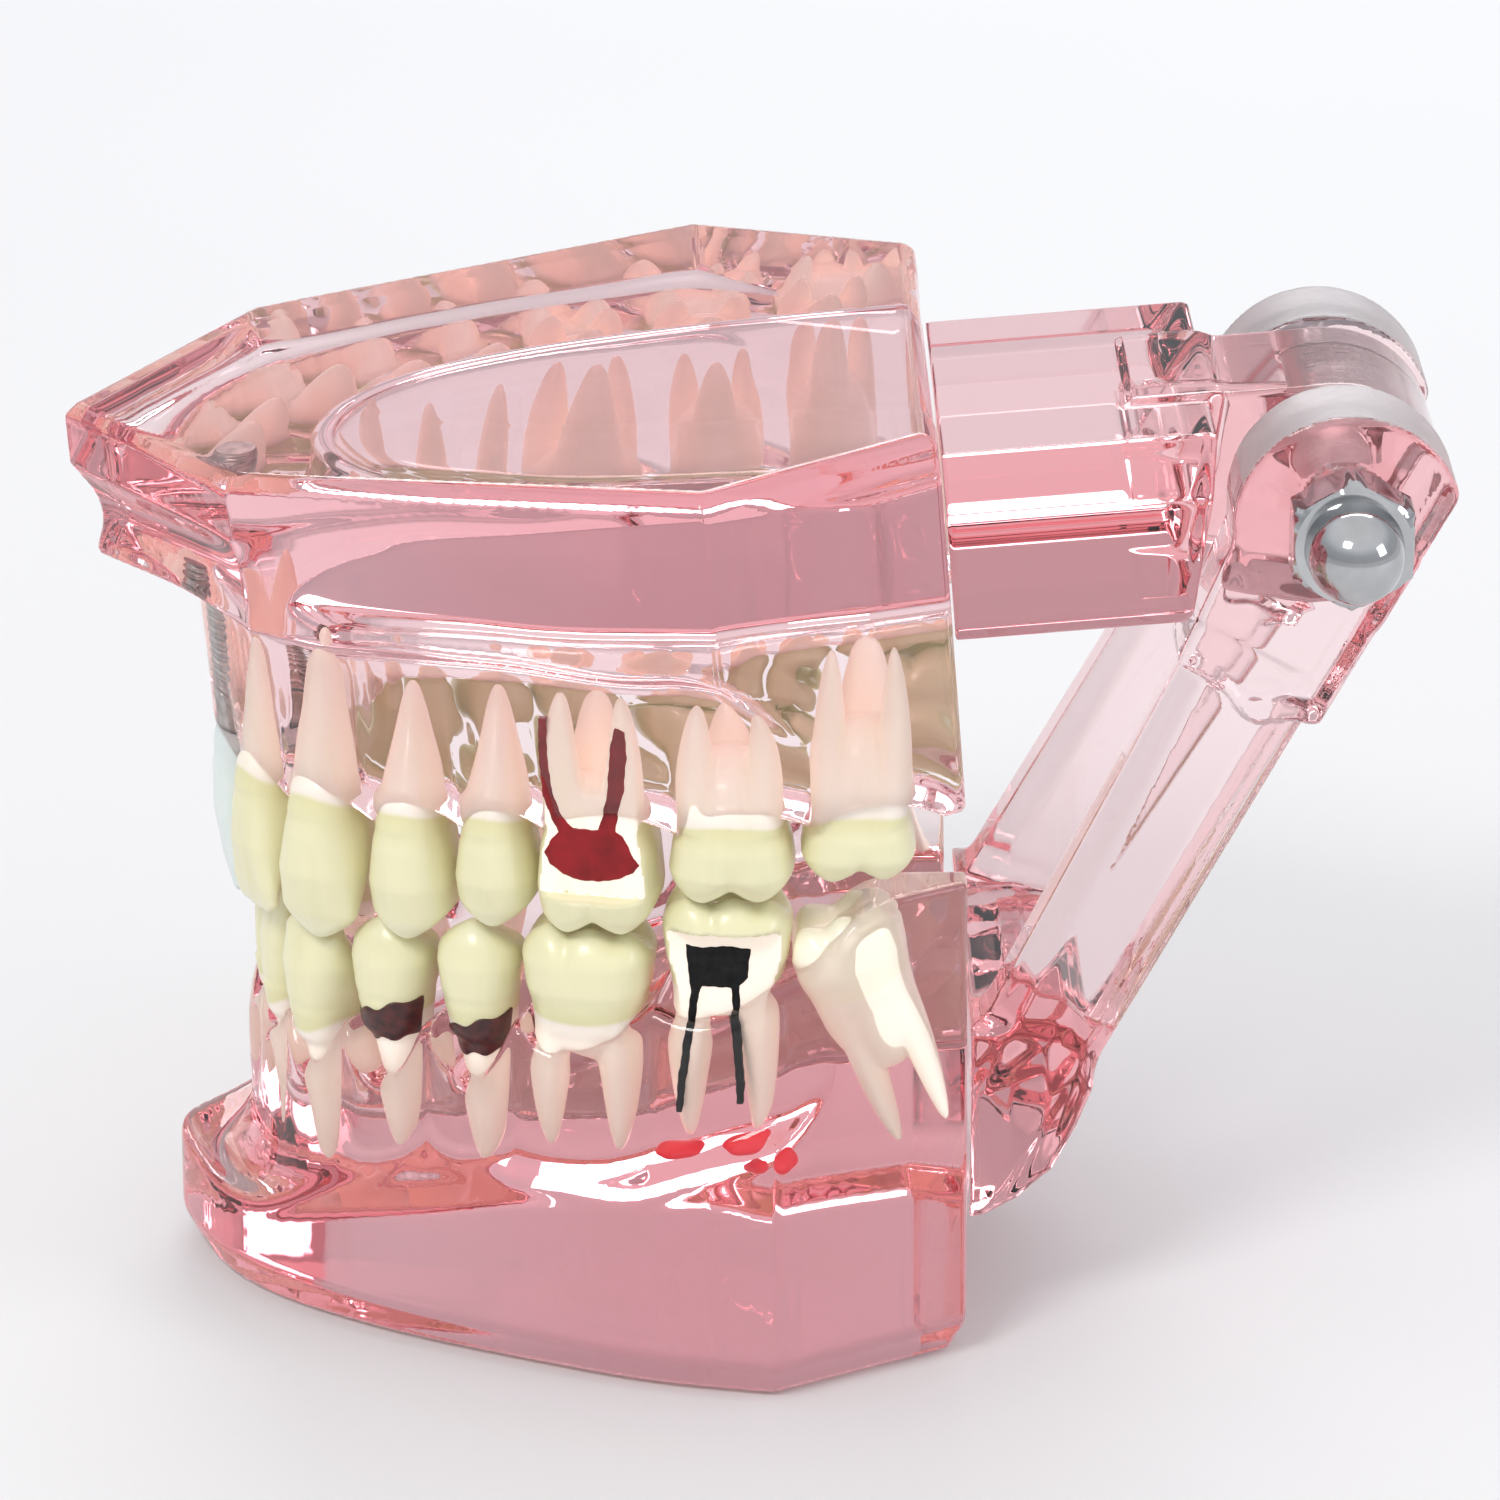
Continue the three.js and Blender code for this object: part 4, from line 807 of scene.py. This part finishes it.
def lower_base_field(x, y, z):
    d2 = polygon(x, y, lo_outline)
    dr = polygon(x, y, lo_ridge)
    pap = papilla(x, y, LOWER)
    front = step(-30, -42, x)
    side_draft = np.clip(z - 6, 0, 30) * 0.012
    top = smooth_table(LO_PLATE_PROFILE, x)
    # at the front a trough runs between the lip and the gum wall; along the sides the rim rises to the wall
    s = -d2
    trough = np.exp(-(((s - 3.4) / 1.9) ** 2))
    slope = 0.55 * np.clip(s, 0, 4.5) * step(-28, -22, x) * step(6, -2, x) * step(-1, 1.5, dr)
    top = top + slope - 1.3 * trough * step(-24, -34, x)
    body = smax((z - top) * 0.88, d2 - 6.0, 0.5)
    body = smax(body, d2, 1.2)
    gum = smooth_table(LO_RIDGE_PROFILE, x, 1.0)
    fade = step(3.5, -2.0, x)
    dip = smooth_table(GUM_DIP, x, 1.0)
    gum = gum + fade * (0.7 * pap**2 - dip * np.clip(1 - pap**2, 0, 1))
    wall = dr + fade * (0.6 * pap**2 - 0.3) * step(14, 22, z) + np.clip(z - 18, 0, 30) * 0.03
    ridge = smax(wall, (z - gum) * 0.85, 1.7)
    ridge = smax(ridge, 4 - z, 0.5)
    k = 2.6 + 2.8 * front
    both = smin(body, ridge, k)
    # the outer wall and the bevelled foot
    both = smax(both, d2 + side_draft, 0.5)
    both = smax(both, -z, 0.3)
    both = smax(both, (d2 * 2.0 - z + 3.3) / 2.236, 0.25)
    return smax(both, x - LO_HEEL_X, 0.5)


def upper_base_level(x, y, z):
    d2 = polygon(x, y, up_outline)
    dr = polygon(x, y, up_ridge)
    pap = papilla(x, y, UPPER)
    body = smax(d2, z - UP_TOP, 0.2)
    body = smax(body, (d2 + z - UP_TOP + UP_BEVEL) / 1.4142, 0.15)
    bottom = smooth_table(UP_SIDE_BOTTOM, x, 2.2)
    # the wall is hollowed below its upper band, towards the fold
    s = -d2
    band = 79.3 + 0 * x
    hollow = 1.5 * np.sin(np.clip((band - z) / np.maximum(band - bottom, 1.0), 0, 1) * math.pi)
    body = smax(body, d2 + hollow * step(-40.5, -46, x) + np.clip(band - z, 0, 20) * 0.085, 0.25)
    under = bottom + 0.9 * np.exp(-(((s - 3.5) / 2.0) ** 2))
    inner = step(-0.5, 2.0, dr)  # a mask for inside the arch; not used
    body = smax(body, (under - z) * 0.92, 1.3)
    gum = UP_GUM + 0 * x
    gum = gum - 1.7 * pap**2 + 1.1
    wall = dr + (0.5 * pap**2 - 0.2) * step(64, 57, z) + np.clip(66 - z, 0, 30) * 0.02
    ridge = smax(wall, (gum - z) * 0.92, 1.6)
    ridge = smax(ridge, z - 82, 0.5)
    both = smin(body, ridge, 3.4)
    both = smax(both, d2 - 3.2, 0.6)
    # the vault between the two sides
    vault = smax(polygon(x, y, vault_line), z - 69.6, 3.0)
    both = smax(both, -vault, 1.2)
    both = smax(both, z - UP_TOP, 0.2)
    return smax(both, x - 15.0, 0.5)


vault_half = smooth_front(UP_RIDGE_IN, 4)
vault_line = both_sides(vault_half)
GRID = 0.45
v, q = surface(lower_base_field, [-51.5, -36.5, 0], [17.8, 36.5, 46], GRID)
o = mesh_object("base_lower", v, q)
place(o, "lower_base", "lower_jaw", M["resin"])
v, q = surface(upper_base_level, [-57.5, -37.5, 51.5], [15.6, 37.5, 85.2], GRID)
o = mesh_object("base_upper", tilt(v), q)
place(o, "upper_base", "upper_jaw", M["resin"])


# ------------------------------------------------------------------ hinge block, yoke
BORE = 3.3


def block_level(x, y, z):
    ay = np.abs(y)
    half = 21.6 - np.clip(66.2 - z, 0, 2) * 0.875
    sec = smax(ay - half, (ay + z - (17.4 + 79.9)) / 1.4142, 0.4)
    sec = smax(sec, z - 79.9, 0.3)
    sec = smax(sec, 64.6 - z, 0.5)
    end = 38.2 - 3.4 * (79.9 - z) / 15.3 - 1.1 * np.exp(-(((ay - 14.5) / 3.6) ** 2) - ((z - 71.5) / 4.5) ** 2)
    b = smax(smax(sec, (x - end) * 0.95, 0.9), 15.3 - x, 0.15)
    r = np.sqrt((x - PIVOT_X) ** 2 + (z - PIVOT_Z) ** 2)
    bar = smax(smax(x - PIVOT_X, 32.0 - x, 0.2), smax(z - 79.9, 61.9 + np.clip(PIVOT_X - 3 - x, 0, 20) * 0.23 - z, 0.4), 0.3)
    tongue = smax(smin(r - 9.0, bar, 0.3), ay - 8.0, 0.7)
    d = smin(b, tongue, 1.6)
    d = smax(d, -(r - BORE), 0.25)
    return d


v, q = surface(block_level, [15.2, -22, 60.8], [57.8, 22, 80.6], 0.36)
o = mesh_object("hinge_block", tilt(v), q)
place(o, "upper_hinge_block", "upper_jaw", M["hinge"])
o.data.materials.append(M["frost"])


def frost(o, pick):
    """Faces whose centre is picked take the frosted finish."""
    me = o.data
    n = len(me.polygons)
    c = np.zeros(n * 3)
    me.polygons.foreach_get("center", c)
    nn = np.zeros(n * 3)
    me.polygons.foreach_get("normal", nn)
    c = c.reshape(-1, 3) * 1000 - np.array([SHIFT, 0, 0])
    idx = np.where(pick(c, nn.reshape(-1, 3)), 1, 0).astype(np.int32)
    me.polygons.foreach_set("material_index", idx)


def bore_faces(c, n):
    r = np.hypot(c[:, 0] - PIVOT_X, c[:, 2] - PIVOT_Z)
    return r < BORE + 0.2


frost(o, bore_faces)
LEAN = math.radians(29.2)
SL, CL = math.sin(LEAN), math.cos(LEAN)


def yoke_field(x, y, z):
    dx, dz = x - PIVOT_X, z - PIVOT_Z
    s = -dx * SL - dz * CL
    p = dx * CL - dz * SL
    ay = np.abs(y)
    r = np.sqrt(dx**2 + dz**2)
    head = smax(smax(r - 9.5, ay - 17.4, 0.5), smax(8.7 - ay, p - 6.9, 0.5), 0.5)
    t = np.clip(s / 17.3, -0.3, 1.3)
    fr = -8.1 + 1.8 * t
    step_s = 17.3 + 1.4 * np.exp(-(((p - 1.5) / 2.4) ** 2)) - 0.9 * np.clip((p - 2) / 5, 0, 1)
    neck = smax(smax(fr - p, p - 6.9, 0.5), smax(8.7 - ay, ay - 17.5 - 0.02 * s, 0.5), 1.0)
    neck = smax(neck, smax(-s, s - step_s, 0.5), 0.5)
    w = np.clip((s - 17.3) / (76 - 17.3), -0.1, 1.1)
    p0, p1 = -5.4 + 1.3 * w, 6.2 - 0.9 * w
    y0, y1 = 8.8 + 5.6 * w, 16.7 + 6.7 * w
    pc, ph, yc, yh = (p0 + p1) / 2, (p1 - p0) / 2, (y0 + y1) / 2, (y1 - y0) / 2
    a, b = np.abs(p - pc) - ph, np.abs(ay - yc) - yh
    shank = smax(smax(a, b, 0.3), (a + b + 2.0) / 1.4142, 0.35)
    shank = smax(shank, 15.0 - s, 0.4)
    arm = smin(smin(head, neck, 0.5), shank, 0.7)
    under = polygon(x, z + 0 * x, [[5, 10.4], [18.5, 10.4], [21.5, 11.6], [24.6, 14.2], [26.6, 18.2], [27.9, 21.6], [27.6, 24.6], [25.4, 26.8], [22.5, 27.4], [5, 27.4]])
    cross = smax(under, ay - 20.8, 1.5)
    foot = smax(arm, polygon(x, z + 0 * x, [[0, 10.4], [18.5, 10.4], [21.5, 11.6], [24.6, 14.2], [27.4, 18.2], [31, 25], [80, 95], [0, 95]]), 2.2)
    d = smin(foot, cross, 1.2)
    d = smax(d, 17.55 - x, 0.25)
    d = smax(d, -smax(r - BORE, 5 - ay, 0.1), 0.25)
    return d


v, q = surface(yoke_field, [17.2, -24.6, 9.6], [58.4, 24.6, 80.8], 0.42)
o = mesh_object("hinge_yoke", v, q)
place(o, "lower_yoke", "lower_jaw", M["hinge"])
o.data.materials.append(M["frost"])


def rim_faces(c, n):
    dx, dz = c[:, 0] - PIVOT_X, c[:, 2] - PIVOT_Z
    r = np.hypot(dx, dz)
    p = dx * CL - dz * SL
    s = -dx * SL - dz * CL
    radial = (n[:, 0] * dx + n[:, 2] * dz) / np.maximum(r, 1e-6)
    return (r < BORE + 0.2) | ((r > 8.9) & (r < 9.7) & (radial > 0.75) & (s < 1.0) & (p < 6.6))


frost(o, rim_faces)


# ------------------------------------------------------------------ bolt and nuts
def hinge_turned(profile, n=48):
    """Revolve (r, y) about the hinge line."""
    a = np.arange(n) * 2 * math.pi / n
    verts, rows = [], []
    for r, y in profile:
        if r < 1e-6:
            rows.append([len(verts)] * n)
            verts.append([PIVOT_X, y, PIVOT_Z])
        else:
            rows.append(list(range(len(verts), len(verts) + n)))
            verts += [[PIVOT_X + r * math.cos(t), y, PIVOT_Z + r * math.sin(t)] for t in a]
    faces = []
    for p, q in zip(rows, rows[1:]):
        for k in range(n):
            m = (k + 1) % n
            faces.append([p[k], q[k], q[m], p[m]])
    return verts, faces


prof = [(0, -23.0), (2.4, -23.0)]
yy = -22.6
while yy < -17.0:
    prof += [(2.95, yy), (2.62, yy + 0.25)]
    yy += 0.5
prof += [(2.95, -16.9), (2.95, 16.9)]
yy = 17.1
while yy < 22.6:
    prof += [(2.62, yy), (2.95, yy + 0.25)]
    yy += 0.5
prof += [(2.4, 23.0), (0, 23.0)]
v, q = hinge_turned(prof, 40)
place(polymesh("bolt_thread", v, q, True, 60), "hinge_bolt", "lower_jaw", M["steel"])
HEX_R, HEX_AF = 9.9 / math.sqrt(3), 9.9 / 2


def acorn(side):
    """Hexagon with chamfered corners, a collar and a round dome."""
    n = 96
    rows, verts, faces = [], [], []

    def ring(y, fn):
        rows.append(range(len(verts), len(verts) + n))
        for k in range(n):
            a = 2 * math.pi * k / n
            r = fn(a)
            # the hexagon stands with a corner up
            verts.append([PIVOT_X + r * math.sin(a), y * side, PIVOT_Z + r * math.cos(a)])

    def hexr(a, cap):
        b = (a + math.pi / 6) % (math.pi / 3) - math.pi / 6
        c = (a % (math.pi / 3)) - math.pi / 6
        return min(HEX_AF / math.cos(c), cap)

    y0 = 17.75
    ring(y0, lambda a: 3.05)
    ring(y0, lambda a: min(hexr(a, 9), 5.0))
    ring(y0 + 0.45, lambda a: hexr(a, 5.72))
    ring(y0 + 4.3, lambda a: hexr(a, 5.72))
    ring(y0 + 4.75, lambda a: hexr(a, 5.25))
    ring(y0 + 5.0, lambda a: hexr(a, 4.85))
    ring(y0 + 5.02, lambda a: 4.1)
    ring(y0 + 5.5, lambda a: 3.95)
    for t in np.linspace(0, math.pi / 2, 14)[:-1]:
        ring(y0 + 7.0 + 3.95 * math.sin(t), lambda a, t=t: 3.95 * math.cos(t))
    last = len(verts)
    verts.append([PIVOT_X, (y0 + 10.95) * side, PIVOT_Z])
    for p, q in zip(rows, rows[1:]):
        for k in range(n):
            m = (k + 1) % n
            faces.append([p[k], p[m], q[m], q[k]])
    p = rows[-1]
    for k in range(n):
        faces.append([p[k], p[(k + 1) % n], last])
    # inside: the bore, a plain cylinder without thread
    inner0 = len(verts)
    for y, r in ((y0, 3.05), (y0 + 5.4, 3.05), (y0 + 5.6, 0.0)):
        if r > 0:
            for k in range(n):
                a = 2 * math.pi * k / n
                verts.append([PIVOT_X + r * math.sin(a), y * side, PIVOT_Z + r * math.cos(a)])
        else:
            verts.append([PIVOT_X, y * side, PIVOT_Z])
    for k in range(n):
        m = (k + 1) % n
        faces.append([rows[0][k], inner0 + n + k, inner0 + n + m, rows[0][m]])
        faces.append([inner0 + n + k, inner0 + 2 * n, inner0 + n + m])
    if side > 0:
        faces = [fc[::-1] for fc in faces]
    return verts, faces


for side, name in ((-1, "left"), (1, "right")):
    v, q = acorn(side)
    place(polymesh(f"nut_dome_{name}", v, q, True, 28), f"acorn_nut_{name}", "lower_jaw", M["steel"])

# ------------------------------------------------------------------ stage
me = bpy.data.meshes.new("floor")
S = 3.0
me.from_pydata([(-S, -S, 0), (S, -S, 0), (S, S, 0), (-S, S, 0)], [], [(0, 1, 2, 3)])
floor = bpy.data.objects.new("floor", me)
bpy.context.scene.collection.objects.link(floor)
fm, fnt, fb = material("floor_pale")
tc = fnt.nodes.new("ShaderNodeTexCoord")
nz = fnt.nodes.new("ShaderNodeTexNoise")
nz.inputs["Scale"].default_value = 3.0
fnt.links.new(tc.outputs["Object"], nz.inputs["Vector"])
fnt.links.new(ramp(fnt, nz.outputs["Fac"], [(0.3, (0.74, 0.74, 0.75)), (0.7, (0.78, 0.78, 0.79))]), fb.inputs["Base Color"])
fb.inputs["Roughness"].default_value = 0.65
floor.data.materials.append(fm)
floor.location.z = -0.0003

world = bpy.data.worlds.new("studio")
bpy.context.scene.world = world
world.use_nodes = True
wt = world.node_tree
bg = wt.nodes["Background"]
wtc = wt.nodes.new("ShaderNodeTexCoord")
sep = wt.nodes.new("ShaderNodeSeparateXYZ")
wt.links.new(wtc.outputs["Generated"], sep.inputs["Vector"])
mr = wt.nodes.new("ShaderNodeMapRange")
mr.inputs["From Min"].default_value = -1.0
mr.inputs["From Max"].default_value = 1.0
wt.links.new(sep.outputs["Z"], mr.inputs["Value"])
wt.links.new(ramp(wt, mr.outputs["Result"], [(0.0, (0.60, 0.60, 0.61)), (0.5, (0.78, 0.78, 0.79)), (0.56, (0.55, 0.56, 0.59)), (0.68, (0.62, 0.64, 0.67)), (0.8, (0.95, 0.96, 1.0)), (1.0, (1.0, 1.0, 1.0))]), bg.inputs["Color"])
bg.inputs["Strength"].default_value = 0.92


def area(name, loc, aim, size, energy, color=(1, 1, 1)):
    ld = bpy.data.lights.new(name, "AREA")
    ld.shape = "RECTANGLE"
    ld.size, ld.size_y = size
    ld.energy = energy
    ld.color = color
    lo = bpy.data.objects.new(name, ld)
    lo.location = loc
    lo.rotation_euler = (Vector(aim) - Vector(loc)).to_track_quat("-Z", "Y").to_euler()
    bpy.context.scene.collection.objects.link(lo)
    return lo


area("key", (-0.35, -0.55, 0.75), (0, 0, 0.04), (0.30, 0.22), 3.0, (1.0, 0.98, 0.95))
area("fill", (0.75, -0.35, 0.4), (0, 0, 0.04), (0.3, 0.3), 1.2, (0.95, 0.97, 1.0))
area("back", (0.1, 0.8, 0.6), (0, 0, 0.04), (0.6, 0.25), 2.2)

cam_d = bpy.data.cameras.new("camera")
cam_d.sensor_width = 36
cam_d.lens = 190.9
cam_d.clip_end = 20
cam = bpy.data.objects.new("camera", cam_d)
cam.location = (-0.01193, -0.63259, 0.29382)
target = Vector((-0.000893, 0, 0.0446))
cam.rotation_euler = (target - Vector(cam.location)).to_track_quat("-Z", "Y").to_euler()
bpy.context.scene.collection.objects.link(cam)
bpy.context.scene.camera = cam
bpy.context.scene.view_settings.view_transform = "Standard"
bpy.context.scene.cycles.max_bounces = 18
bpy.context.scene.cycles.transmission_bounces = 18
bpy.context.scene.cycles.glossy_bounces = 6
